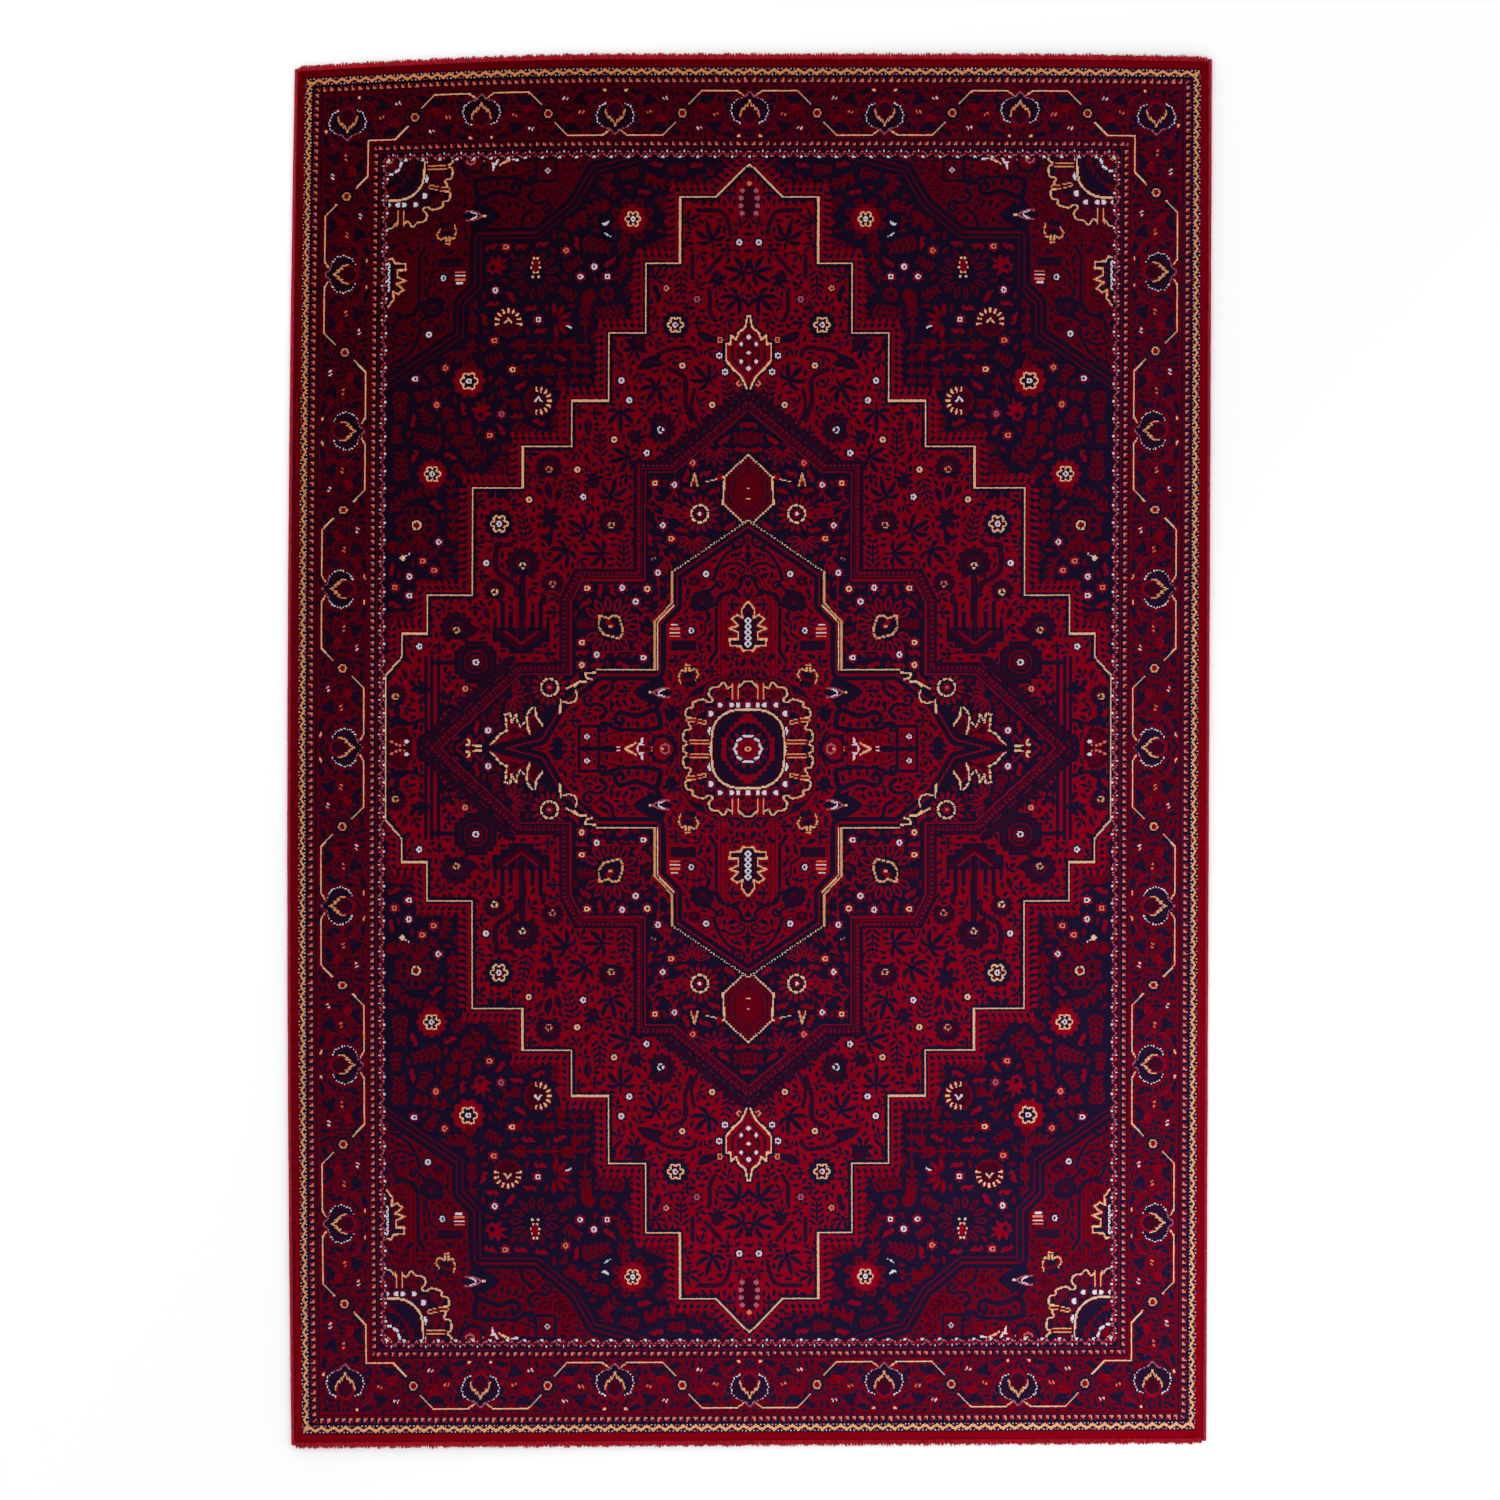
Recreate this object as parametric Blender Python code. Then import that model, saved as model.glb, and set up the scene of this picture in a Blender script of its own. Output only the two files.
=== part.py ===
"""Machine-woven cut-pile area rug with serged sides, lying flat.

Metres, +Z up. The origin is the centre of the underside, +X runs across the rug and +Y along it.
From the floor up: a latex coat with the folded end hems beside it, the three yarn layers of the
woven ground, and the pile. The pile is grouped by woven zone, from the plain edge inwards to the
centre rosette, and each zone is a block of tufts that stands on the ground weave.
"""

import math

import bmesh
import bpy
from mathutils import Vector

# Overall size
WIDTH = 1.600  # over both serged sides
LENGTH = 2.400  # between the tips of the two rows of end tufts

# Thickness of each layer, from the floor up
COAT_THICKNESS = 0.0008
LOWER_WEFT_THICKNESS = 0.0008
STUFFER_WARP_THICKNESS = 0.0007
UPPER_WEFT_THICKNESS = 0.0008
PILE_HEIGHT = 0.0080

# Serged sides: overcast yarn wrapped round a cord
SERGING_WIDTH = 0.0085
SERGING_HEIGHT = 0.0082
SERGING_WALL = 0.0020
SERGING_SETBACK = 0.0030  # from the tips of the end tufts

# Ends: the heading cloth folds under, and the last rows of tufts lean out over the fold
HEM_DEPTH = 0.025
HEM_WALL = 0.0008
TUFT_ROOT = 0.0040
TUFT_LEAN = 0.0080

# Width of each border band, (across the rug, along the rug)
PLAIN_EDGE = (0.0115, 0.0120)
GOLD_GUARD = (0.0145, 0.0160)
OUTER_TOOTH_STRIPE = (0.0175, 0.0170)
MAIN_BORDER = (0.0885, 0.0920)
INNER_TOOTH_STRIPE = (0.0175, 0.0170)
MOSAIC_GUARD = (0.0120, 0.0140)

CORNER_ROSETTE_RADIUS = 0.070

# Outlines of one quarter of each medallion, as shares of the half width and half length of the
# field, from the rug's long centre line round to its short one
STEPPED_OUTLINE = (
    (0.000, 0.990),
    (0.094, 0.934),
    (0.190, 0.934),
    (0.190, 0.823),
    (0.284, 0.823),
    (0.284, 0.705),
    (0.386, 0.705),
    (0.386, 0.590),
    (0.487, 0.590),
    (0.487, 0.513),
    (0.622, 0.513),
    (0.622, 0.442),
    (0.759, 0.442),
    (0.759, 0.260),
    (0.883, 0.260),
    (0.883, 0.194),
    (0.954, 0.194),
    (0.954, 0.154),
    (1.000, 0.121),
)
CROSS_OUTLINE = (
    (0.000, 0.596),
    (0.214, 0.486),
    (0.311, 0.486),
    (0.311, 0.303),
    (0.475, 0.303),
    (0.516, 0.252),
    (0.516, 0.143),
    (0.635, 0.143),
    (0.886, 0.000),
)
LOBED_OUTLINE = (
    (0.000, 0.388),
    (0.210, 0.300),
    (0.210, 0.247),
    (0.257, 0.217),
    (0.257, 0.134),
    (0.416, 0.134),
    (0.521, 0.081),
    (0.576, 0.023),
    (0.722, 0.000),
)
ROSETTE_HALF_WIDTH = 0.112
ROSETTE_HALF_LENGTH = 0.114
ROSETTE_CORNER = 0.050  # corner radius of the centre rosette

GAP = 0.0003  # between pieces that touch
ARC_STEPS = 12  # straight pieces in a quarter circle

# Heights of the layers
LOWER_WEFT_Z = COAT_THICKNESS + GAP
STUFFER_WARP_Z = LOWER_WEFT_Z + LOWER_WEFT_THICKNESS + GAP
UPPER_WEFT_Z = STUFFER_WARP_Z + STUFFER_WARP_THICKNESS + GAP
GROUND_TOP_Z = UPPER_WEFT_Z + UPPER_WEFT_THICKNESS
PILE_Z = GROUND_TOP_Z + GAP
PILE_TOP_Z = PILE_Z + PILE_HEIGHT

# Half sizes of the woven body
BODY_X = WIDTH / 2 - SERGING_WIDTH - GAP
FOLD_Y = LENGTH / 2 - TUFT_LEAN  # outer face of the folded hem
GROUND_Y = FOLD_Y - HEM_WALL - GAP
PILE_Y = FOLD_Y - TUFT_ROOT

COLOURS = {
    "latex": (0.62, 0.58, 0.48),
    "jute": (0.46, 0.36, 0.22),
    "cotton": (0.68, 0.64, 0.54),
    "crimson": (0.42, 0.010, 0.035),
    "wine": (0.085, 0.001, 0.006),
    "gold": (0.66, 0.34, 0.12),
    "navy": (0.010, 0.006, 0.028),
    "red": (0.200, 0.001, 0.012),
    "mixed": (0.200, 0.070, 0.080),
}


def clear_scene():
    for obj in list(bpy.data.objects):
        bpy.data.objects.remove(obj, do_unlink=True)


def yarn_material(name, colour):
    """A matt textile finish for one object."""
    material = bpy.data.materials.new(name)
    material.use_nodes = True
    shader = material.node_tree.nodes["Principled BSDF"]
    shader.inputs["Base Color"].default_value = (*COLOURS[colour], 1.0)
    shader.inputs["Roughness"].default_value = 0.92
    shader.inputs["Metallic"].default_value = 0.0
    return material


def add_object(name, mesh_data, colour, z=0.0):
    mesh = bpy.data.meshes.new(name)
    bmesh.ops.recalc_face_normals(mesh_data, faces=mesh_data.faces)
    mesh_data.to_mesh(mesh)
    mesh_data.free()
    mesh.materials.append(yarn_material(name, colour))
    obj = bpy.data.objects.new(name, mesh)
    obj.location.z = z
    bpy.context.collection.objects.link(obj)
    return obj


def inset(points, distance):
    """The outline moved inwards by a distance, whichever way round its points run."""
    corners = [Vector(p) for p in points]
    area = sum(a.cross(b) for a, b in zip(corners, corners[1:] + corners[:1]))
    if area < 0:
        corners.reverse()
    result = []
    for i, corner in enumerate(corners):
        before = (corner - corners[i - 1]).normalized()
        after = (corners[(i + 1) % len(corners)] - corner).normalized()
        in_before = Vector((-before.y, before.x))
        in_after = Vector((-after.y, after.x))
        mitre = (in_before + in_after) / (1 + in_before.dot(in_after))
        result.append(corner + mitre * distance)
    return result


def add_slab(name, points, bottom, thickness, colour, clearance=0.0):
    """A flat piece with the outline given, pulled in all round by the clearance."""
    shape = bmesh.new()
    outline = inset(points, clearance)
    face = shape.faces.new([shape.verts.new((p.x, p.y, 0.0)) for p in outline])
    grown = bmesh.ops.extrude_face_region(shape, geom=[face])
    top = [item for item in grown["geom"] if isinstance(item, bmesh.types.BMVert)]
    bmesh.ops.translate(shape, verts=top, vec=(0.0, 0.0, thickness))
    return add_object(name, shape, colour, bottom)


def rectangle(half_x, half_y):
    return [(-half_x, -half_y), (half_x, -half_y), (half_x, half_y), (-half_x, half_y)]


def arc(centre, radius, start, end):
    """Points on a circle from one angle in degrees to another, ends included."""
    angles = [math.radians(start + (end - start) * i / ARC_STEPS) for i in range(ARC_STEPS + 1)]
    return [(centre[0] + radius * math.cos(a), centre[1] + radius * math.sin(a)) for a in angles]


def mirrored(points, side, end):
    return [(x * side, y * end) for x, y in points]


def four_quarters(name, points, colour):
    """The same piece of pile in each quarter of the rug."""
    for end_name, end in (("far", 1), ("near", -1)):
        for side_name, side in (("left", -1), ("right", 1)):
            add_slab(
                f"{name}_{end_name}_{side_name}",
                mirrored(points, side, end),
                PILE_Z,
                PILE_HEIGHT,
                colour,
                GAP / 2,
            )


def add_ground():
    """Latex coat and the three yarn layers of the ground weave."""
    coat_y = FOLD_Y - HEM_DEPTH - GAP
    add_slab("latex_back_coat", rectangle(BODY_X, coat_y), 0.0, COAT_THICKNESS, "latex")
    ground = rectangle(BODY_X, GROUND_Y)
    add_slab("lower_weft_layer", ground, LOWER_WEFT_Z, LOWER_WEFT_THICKNESS, "jute")
    add_slab("stuffer_warp_layer", ground, STUFFER_WARP_Z, STUFFER_WARP_THICKNESS, "cotton")
    add_slab("upper_weft_layer", ground, UPPER_WEFT_Z, UPPER_WEFT_THICKNESS, "jute")


def add_profile_across(name, profile, colour):
    """A piece with the same section, in Y and Z, all the way across the rug."""
    shape = bmesh.new()
    face = shape.faces.new([shape.verts.new((-BODY_X, y, z)) for y, z in profile])
    grown = bmesh.ops.extrude_face_region(shape, geom=[face])
    moved = [item for item in grown["geom"] if isinstance(item, bmesh.types.BMVert)]
    bmesh.ops.translate(shape, verts=moved, vec=(2 * BODY_X, 0.0, 0.0))
    return add_object(name, shape, colour)


def add_ends():
    """At each end, the folded hem under the ground weave and the leaning tufts over it."""
    hem = (
        (FOLD_Y, 0.0),
        (FOLD_Y, GROUND_TOP_Z),
        (FOLD_Y - HEM_WALL, GROUND_TOP_Z),
        (FOLD_Y - HEM_WALL, COAT_THICKNESS),
        (FOLD_Y - HEM_DEPTH, COAT_THICKNESS),
        (FOLD_Y - HEM_DEPTH, 0.0),
    )
    tufts = (
        (PILE_Y + GAP, PILE_Z),
        (FOLD_Y, PILE_Z),
        (LENGTH / 2, PILE_TOP_Z),
        (PILE_Y + GAP, PILE_TOP_Z),
    )
    for end_name, end in (("far", 1), ("near", -1)):
        add_profile_across(f"end_hem_{end_name}", [(y * end, z) for y, z in hem], "wine")
        add_profile_across(f"end_tufts_{end_name}", [(y * end, z) for y, z in tufts], "crimson")


def oval(shape, centre_x, centre_z, width, height, y):
    """A closed loop of edges in the XZ plane."""
    count = 4 * ARC_STEPS // 2
    verts = []
    for i in range(count):
        angle = math.tau * i / count
        x = centre_x + width / 2 * math.cos(angle)
        z = centre_z + height / 2 * math.sin(angle)
        verts.append(shape.verts.new((x, y, z)))
    return [shape.edges.new((verts[i - 1], verts[i])) for i in range(count)]


def extrude_along(shape, faces, distance):
    grown = bmesh.ops.extrude_face_region(shape, geom=faces)
    moved = [item for item in grown["geom"] if isinstance(item, bmesh.types.BMVert)]
    bmesh.ops.translate(shape, verts=moved, vec=(0.0, distance, 0.0))


def add_sides():
    """On each side, a cord inside a sleeve of overcast yarn."""
    half_run = LENGTH / 2 - SERGING_SETBACK
    centre_z = SERGING_HEIGHT / 2
    hole_width = SERGING_WIDTH - 2 * SERGING_WALL
    hole_height = SERGING_HEIGHT - 2 * SERGING_WALL
    for side_name, side in (("left", -1), ("right", 1)):
        centre_x = side * (WIDTH - SERGING_WIDTH) / 2
        sleeve = bmesh.new()
        outer = oval(sleeve, centre_x, centre_z, SERGING_WIDTH, SERGING_HEIGHT, -half_run)
        inner = oval(sleeve, centre_x, centre_z, hole_width, hole_height, -half_run)
        ring = bmesh.ops.bridge_loops(sleeve, edges=outer + inner)["faces"]
        extrude_along(sleeve, ring, 2 * half_run)
        add_object(f"serging_{side_name}", sleeve, "crimson").data.shade_smooth()

        cord = bmesh.new()
        loop = oval(
            cord, centre_x, centre_z, hole_width - 2 * GAP, hole_height - 2 * GAP, -half_run
        )
        end_cap = bmesh.ops.contextual_create(cord, geom=loop)["faces"]
        extrude_along(cord, end_cap, 2 * half_run)
        add_object(f"side_cord_{side_name}", cord, "cotton").data.shade_smooth()


def add_band(name, outer, inner, colour):
    """One border band, as four strips that meet at mitred corners."""
    (ox, oy), (ix, iy) = outer, inner
    strips = {
        "far": [(-ox, oy), (-ix, iy), (ix, iy), (ox, oy)],
        "near": [(-ox, -oy), (ox, -oy), (ix, -iy), (-ix, -iy)],
        "left": [(-ox, -oy), (-ix, -iy), (-ix, iy), (-ox, oy)],
        "right": [(ox, -oy), (ox, oy), (ix, iy), (ix, -iy)],
    }
    for side_name, points in strips.items():
        add_slab(f"{name}_{side_name}", points, PILE_Z, PILE_HEIGHT, colour, GAP / 2)


def add_borders():
    """All the border bands, from the outside in. Returns the half size of the field."""
    outer = (BODY_X, PILE_Y)
    for name, widths, colour in (
        ("plain_edge", PLAIN_EDGE, "wine"),
        ("gold_guard", GOLD_GUARD, "gold"),
        ("outer_tooth_stripe", OUTER_TOOTH_STRIPE, "navy"),
        ("main_border", MAIN_BORDER, "navy"),
        ("inner_tooth_stripe", INNER_TOOTH_STRIPE, "wine"),
        ("mosaic_guard", MOSAIC_GUARD, "mixed"),
    ):
        inner = (outer[0] - widths[0], outer[1] - widths[1])
        add_band(name, outer, inner, colour)
        outer = inner
    return outer


def add_field(half_x, half_y):
    """Everything inside the borders: corners, nested medallions and the centre rosette."""
    stepped = [(u * half_x, v * half_y) for u, v in STEPPED_OUTLINE]
    cross = [(u * half_x, v * half_y) for u, v in CROSS_OUTLINE]
    lobed = [(u * half_x, v * half_y) for u, v in LOBED_OUTLINE]
    corner_arc = arc((half_x, half_y), CORNER_ROSETTE_RADIUS, 180, 270)
    four_quarters("field_corner", [(0.0, half_y)] + corner_arc + stepped[::-1], "navy")
    four_quarters("corner_rosette", corner_arc + [(half_x, half_y)], "navy")
    four_quarters("medallion_ground", stepped + [(half_x, 0.0)] + cross[::-1], "red")
    four_quarters("cross_medallion", cross + lobed[::-1], "navy")

    turn = (ROSETTE_HALF_WIDTH - ROSETTE_CORNER, ROSETTE_HALF_LENGTH - ROSETTE_CORNER)
    rounded = arc(turn, ROSETTE_CORNER, 90, 0)
    quarter = [(0.0, ROSETTE_HALF_LENGTH)] + rounded + [(ROSETTE_HALF_WIDTH, 0.0)]
    four_quarters("lobed_medallion", lobed + quarter[::-1], "red")

    right = rounded + mirrored(rounded, 1, -1)[::-1]
    rosette = right + mirrored(right, -1, 1)[::-1]
    add_slab("centre_rosette", rosette, PILE_Z, PILE_HEIGHT, "navy", GAP / 2)


clear_scene()
add_ground()
add_ends()
add_sides()
add_field(*add_borders())
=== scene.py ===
"""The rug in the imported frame: its woven design, its pile, its edges, camera and light."""

import math

import bpy
import numpy as np
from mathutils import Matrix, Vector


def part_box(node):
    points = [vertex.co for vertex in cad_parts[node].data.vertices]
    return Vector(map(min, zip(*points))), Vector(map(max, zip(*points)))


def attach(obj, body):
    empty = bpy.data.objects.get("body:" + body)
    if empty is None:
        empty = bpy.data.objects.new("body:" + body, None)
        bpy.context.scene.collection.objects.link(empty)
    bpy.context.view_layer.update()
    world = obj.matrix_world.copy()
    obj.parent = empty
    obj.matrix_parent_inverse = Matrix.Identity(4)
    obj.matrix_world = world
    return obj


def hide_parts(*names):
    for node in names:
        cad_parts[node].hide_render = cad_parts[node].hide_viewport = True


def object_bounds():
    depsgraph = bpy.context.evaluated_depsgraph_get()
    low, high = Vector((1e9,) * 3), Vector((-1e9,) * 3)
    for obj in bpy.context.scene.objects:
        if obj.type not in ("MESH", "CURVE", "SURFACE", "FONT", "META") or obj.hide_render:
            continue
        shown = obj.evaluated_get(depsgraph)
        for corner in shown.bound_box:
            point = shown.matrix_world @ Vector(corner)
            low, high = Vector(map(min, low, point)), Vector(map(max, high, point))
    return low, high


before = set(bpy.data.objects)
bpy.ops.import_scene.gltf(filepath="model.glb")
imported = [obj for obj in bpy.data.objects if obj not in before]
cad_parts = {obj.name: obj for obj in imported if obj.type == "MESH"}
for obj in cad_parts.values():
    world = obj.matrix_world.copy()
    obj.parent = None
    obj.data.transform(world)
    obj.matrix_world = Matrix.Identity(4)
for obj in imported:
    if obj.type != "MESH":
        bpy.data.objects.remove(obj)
cad_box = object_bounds()

# Every size below is in millimetres and starts from the frame's own boxes.
MM = 1000.0
BANDS = ("plain_edge", "gold_guard", "outer_tooth_stripe", "main_border", "inner_tooth_stripe",
         "mosaic_guard")
QUARTERED = ("field_corner", "corner_rosette", "medallion_ground", "cross_medallion", "lobed_medallion")
ZONES = BANDS + QUARTERED + ("centre_rosette",)
GAP = 0.15  # each zone's box stops this far short of its boundary

# Corner points of the nested medallions, as shares of the field's half width and half length.
STEPPED_OUTLINE = ((0, .990), (.094, .934), (.190, .934), (.190, .823), (.284, .823), (.284, .705),
                   (.386, .705), (.386, .590), (.487, .590), (.487, .513), (.622, .513), (.622, .442),
                   (.759, .442), (.759, .260), (.883, .260), (.883, .194), (.954, .194), (.954, .154),
                   (1, .121), (1, 0))
CROSS_OUTLINE = ((0, .596), (.214, .486), (.311, .486), (.311, .303), (.475, .303), (.516, .252),
                 (.516, .143), (.635, .143), (.886, 0))
LOBED_OUTLINE = ((0, .388), (.210, .300), (.210, .247), (.257, .217), (.257, .134), (.416, .134),
                 (.521, .081), (.576, .023), (.722, 0))
CORNER_ROSETTE_RADIUS = 70
KNOT = 2.0  # one woven knot


def reach(side, end=None):
    """How far a node, or a pair of them, reaches from the rug's centre lines."""
    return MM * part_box(side)[1].x + GAP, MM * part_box(end or side)[1].y + GAP


bands = {name: reach(name + "_right", name + "_far") for name in BANDS}
field = reach("corner_rosette_far_right")
rosette = reach("centre_rosette")
half_width, half_length = MM * cad_box[1][0], MM * cad_box[1][1]
pile_low, pile_high = (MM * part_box("centre_rosette")[end].z for end in (0, 1))
KNOTS = tuple(round(size / KNOT) for size in bands["plain_edge"])


def in_field(outline):
    return np.array([(u * field[0], v * field[1]) for u, v in outline])


def rosette_outline(corner=50.0):
    """The centre rosette's rounded square, one quarter of it."""
    turn = np.radians(np.arange(90, -1, -15))
    x, y = rosette[0] - corner, rosette[1] - corner
    return [(0, rosette[1]), *zip(x + corner * np.cos(turn), y + corner * np.sin(turn)),
            (rosette[0], 0)]


stepped, cross, lobed = map(in_field, (STEPPED_OUTLINE, CROSS_OUTLINE, LOBED_OUTLINE))
outlines = {"medallion_ground": stepped, "cross_medallion": cross, "lobed_medallion": lobed,
            "centre_rosette": rosette_outline()}


def warp(x, y):
    """How the rug lies: its edges bow in and out a little, and its far left corner droops."""
    u, v = x / half_width, y / half_length
    side = np.where(u < 0, -3.5 + 10 * (v + 0.15) ** 2, -2.7 + 5 * v) * u**2
    far = (3.5 - 22.5 * np.clip((-0.3 - u) / 0.7, 0, None) ** 1.6
           - 5 * np.clip((u - 0.45) / 0.55, 0, None) ** 2)
    near = (4 * u - 4) * np.clip(-v, 0, None) ** 3 - 9 * np.clip((-v - 0.8) / 0.2, 0, None)
    end = np.where(v > 0, far * np.clip(v, 0, None) ** 3, near)
    middle = np.clip(1 - u**2, 0, 1) * np.clip(1 - v**2, 0, 1)
    return x + side - 3.5 * middle, y + end - 3.3 * middle


# ---------------------------------------------------------------------------------------------
# The woven design. One quarter of it is painted on a grid of knots, in millimetres from the
# rug's centre, and mirrored four times. Each knot is one of these yarns.
# ---------------------------------------------------------------------------------------------

NAVY, WINE, BLOOD, RED, GOLD, CREAM, WHITE, SALMON, ROSE, CRIMSON = range(10)


def curve(points, steps=7):
    """A smooth line through the points (Catmull-Rom)."""
    p = np.array([points[0], *points, points[-1]], float)
    t = np.linspace(0, 1, steps, endpoint=False)[:, None]
    line = []
    for a, b, c, d in zip(p, p[1:], p[2:], p[3:]):
        line.append(b + t * (c - a) / 2 + t**2 * (2 * a - 5 * b + 4 * c - d) / 2
                    + t**3 * (3 * b - a - 3 * c + d) / 2)
    return np.vstack(line + [p[-1:]])


def turned(points, angle, x=0.0, y=0.0, size=1.0):
    """Points scaled, turned by an angle in degrees and moved to (x, y)."""
    c, s = math.cos(math.radians(angle)), math.sin(math.radians(angle))
    p = np.asarray(points, float) * size
    return np.stack([x + p[:, 0] * c - p[:, 1] * s, y + p[:, 0] * s + p[:, 1] * c], 1)


def at_angle(x, y, distance, angle):
    """The point at a distance and an angle from (x, y)."""
    return turned([(distance, 0)], angle, x, y)[0]


def heading_of(way):
    return math.degrees(math.atan2(way[1], way[0]))


def both_halves(points):
    """A closed outline from its half with x above 0."""
    return points + [(-x, y) for x, y in points[::-1]]


def round_shape(x, y, radius, petals=0, depth=0.0, start=0.0, squash=1.0):
    """A circle, or a flower outline whose petals are cut in by a share of the radius."""
    angle = np.linspace(0, math.tau, max(16, 6 * petals), endpoint=False)
    r = radius * (1 - depth * (0.5 - 0.5 * np.cos(petals * (angle - math.radians(start)))))
    return np.stack([x + r * np.cos(angle), y + squash * r * np.sin(angle)], 1)


def arc_line(x, y, radius, start, end):
    angle = np.radians(np.linspace(start, end, max(4, int(abs(end - start) / 12))))
    return np.stack([x + radius * np.cos(angle), y + radius * np.sin(angle)], 1)


def spiral(x, y, radius, start, turns):
    """A curl that winds in to a quarter of its radius. Negative turns wind clockwise."""
    t = np.linspace(0, 1, int(14 * abs(turns)) + 4)
    angle = math.radians(start) + math.tau * turns * t
    r = radius * (1 - 0.75 * t)
    return np.stack([x + r * np.cos(angle), y + r * np.sin(angle)], 1)


def leaf_shape(x, y, angle, length, width, bend=0.0):
    """A pointed leaf from its stem at (x, y). bend moves its middle sideways."""
    t = np.linspace(0, 1, 8)
    swell = width / 2 * np.sin(math.pi * t) ** 0.8
    lean = bend * np.sin(math.pi * t)
    upper = np.stack([t * length, lean + swell], 1)
    lower = np.stack([t * length, lean - swell], 1)[::-1]
    return turned(np.vstack([upper, lower]), angle, x, y)


def block(x0, y0, x1, y1):
    return np.array([(x0, y0), (x1, y0), (x1, y1), (x0, y1)], float)


def zigzag(length, pitch, *depths):
    """Points that step along x by half a pitch and take the depths in turn."""
    return [(i * pitch / 2, depths[i % 2]) for i in range(int(2 * length / pitch) + 3)]


def beside(points, distance):
    """The line moved sideways, to the left of its way for a positive distance."""
    p = np.asarray(points, float)
    way = np.diff(p, axis=0)
    normal = np.stack([-way[:, 1], way[:, 0]], 1) / np.linalg.norm(way, axis=1)[:, None]
    before, after = np.vstack([normal[:1], normal]), np.vstack([normal, normal[-1:]])
    mitre = (before + after) / (1 + (before * after).sum(1))[:, None]
    return p + distance * mitre


class Cartoon:
    """The grid of knots and the tools to paint it."""

    def __init__(self, half_x, half_y, knots_x, knots_y):
        self.x = (np.arange(knots_x) + 0.5) * half_x / knots_x
        self.y = (np.arange(knots_y) + 0.5) * half_y / knots_y
        self.yarn = np.full((knots_y, knots_x), NAVY, np.uint8)
        self.clip = np.ones_like(self.yarn, bool)
        self.put()

    def put(self, x=0.0, y=0.0, side=1, end=1, swap=False):
        """Where the coming shapes' own origin goes, which way their axes run, and if they swap."""
        self.origin, self.sense, self.swap = np.array([x, y]), np.array([side, end]), swap

    def on_rug(self, points):
        p = np.asarray(points, float).reshape(-1, 2)
        return self.origin + self.sense * (p[:, ::-1] if self.swap else p)

    def window(self, low, high):
        columns = slice(*np.searchsorted(self.x, (low[0], high[0])))
        rows = slice(*np.searchsorted(self.y, (low[1], high[1])))
        return rows, columns, self.x[columns][None, :], self.y[rows][:, None]

    def paint(self, rows, columns, inside, yarn):
        self.yarn[rows, columns][inside & self.clip[rows, columns]] = yarn

    def inside(self, points):
        """Rows, columns and a mask of the knots inside an outline on the rug."""
        rows, columns, x, y = self.window(points.min(0), points.max(0))
        mask = np.zeros((y.size, x.size), bool)
        for (ax, ay), (bx, by) in zip(points, np.roll(points, -1, axis=0)):
            if ay != by:
                crosses = (ay > y) != (by > y)
                mask ^= crosses & (x < ax + (y - ay) * (bx - ax) / (by - ay))
        return rows, columns, mask

    def fill(self, points, yarn):
        self.paint(*self.inside(self.on_rug(points)), yarn)

    def stroke(self, points, width, yarn, dash=None, taper=1.0, closed=False):
        """A line of a width. dash is (on, off) lengths, and taper the share of width at its end."""
        p = self.on_rug(points)
        if closed:
            p = np.vstack([p, p[:1]])
        steps = np.linalg.norm(np.diff(p, axis=0), axis=1)
        run = np.concatenate([[0], np.cumsum(steps)])
        for i, step in enumerate(steps):
            low, high = np.minimum(p[i], p[i + 1]) - width, np.maximum(p[i], p[i + 1]) + width
            rows, columns, x, y = self.window(low, high)
            if step == 0 or not x.size or not y.size:
                continue
            ux, uy = (p[i + 1] - p[i]) / step
            along = ((x - p[i, 0]) * ux + (y - p[i, 1]) * uy).clip(0, step)
            away = np.hypot(x - p[i, 0] - along * ux, y - p[i, 1] - along * uy)
            along = along + run[i]
            inside = away <= width / 2 * (1 - (1 - taper) * along / run[-1])
            if dash:
                inside &= along % sum(dash) < dash[0]
            self.paint(rows, columns, inside, yarn)

    def rings(self, x, y, *pairs):
        """Discs on one centre, the largest first, as pairs of radius and yarn."""
        for radius, yarn in pairs:
            self.fill(round_shape(x, y, radius), yarn)


# ---- motifs that recur all over the rug ----

def pair_flower(c, x, y, ground, dots):
    """A round bud with a slanting pair of dots in it."""
    c.fill(round_shape(x, y, 13, 7, 0.2), ground)
    c.stroke([(x - 4, y - 1), (x - 2, y + 2)], 2.2, dots)
    c.stroke([(x + 2, y - 2), (x + 4, y + 1)], 2.2, dots)


def leaves(c, yarn, rows, vein=None):
    """Leaves from rows of x, y, angle, length, width and bend."""
    for x, y, angle, length, width, bend in rows:
        c.fill(leaf_shape(x, y, angle, length, width, bend), yarn)
        if vein is not None:
            c.stroke(turned([(0.15 * length, bend * 0.4), (0.8 * length, bend * 0.4)], angle, x, y),
                     2.2, vein)


def sprig(c, points, yarn, width, count, length, leaf_width, lean, pairs=False):
    """A stem along a smooth line, with leaves by turns on both sides or in pairs."""
    line = curve(points)
    c.stroke(line, width, yarn, taper=0.6)
    for i in range(count):
        at = int((i + 0.6) / count * (len(line) - 1))
        heading = heading_of(line[min(at + 1, len(line) - 1)] - line[max(at - 1, 0)])
        for side in (1, -1) if pairs else (1,) if i % 2 else (-1,):
            c.fill(leaf_shape(*line[at], heading + side * lean, length * (1 - 0.3 * i / count),
                              leaf_width), yarn)


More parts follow.
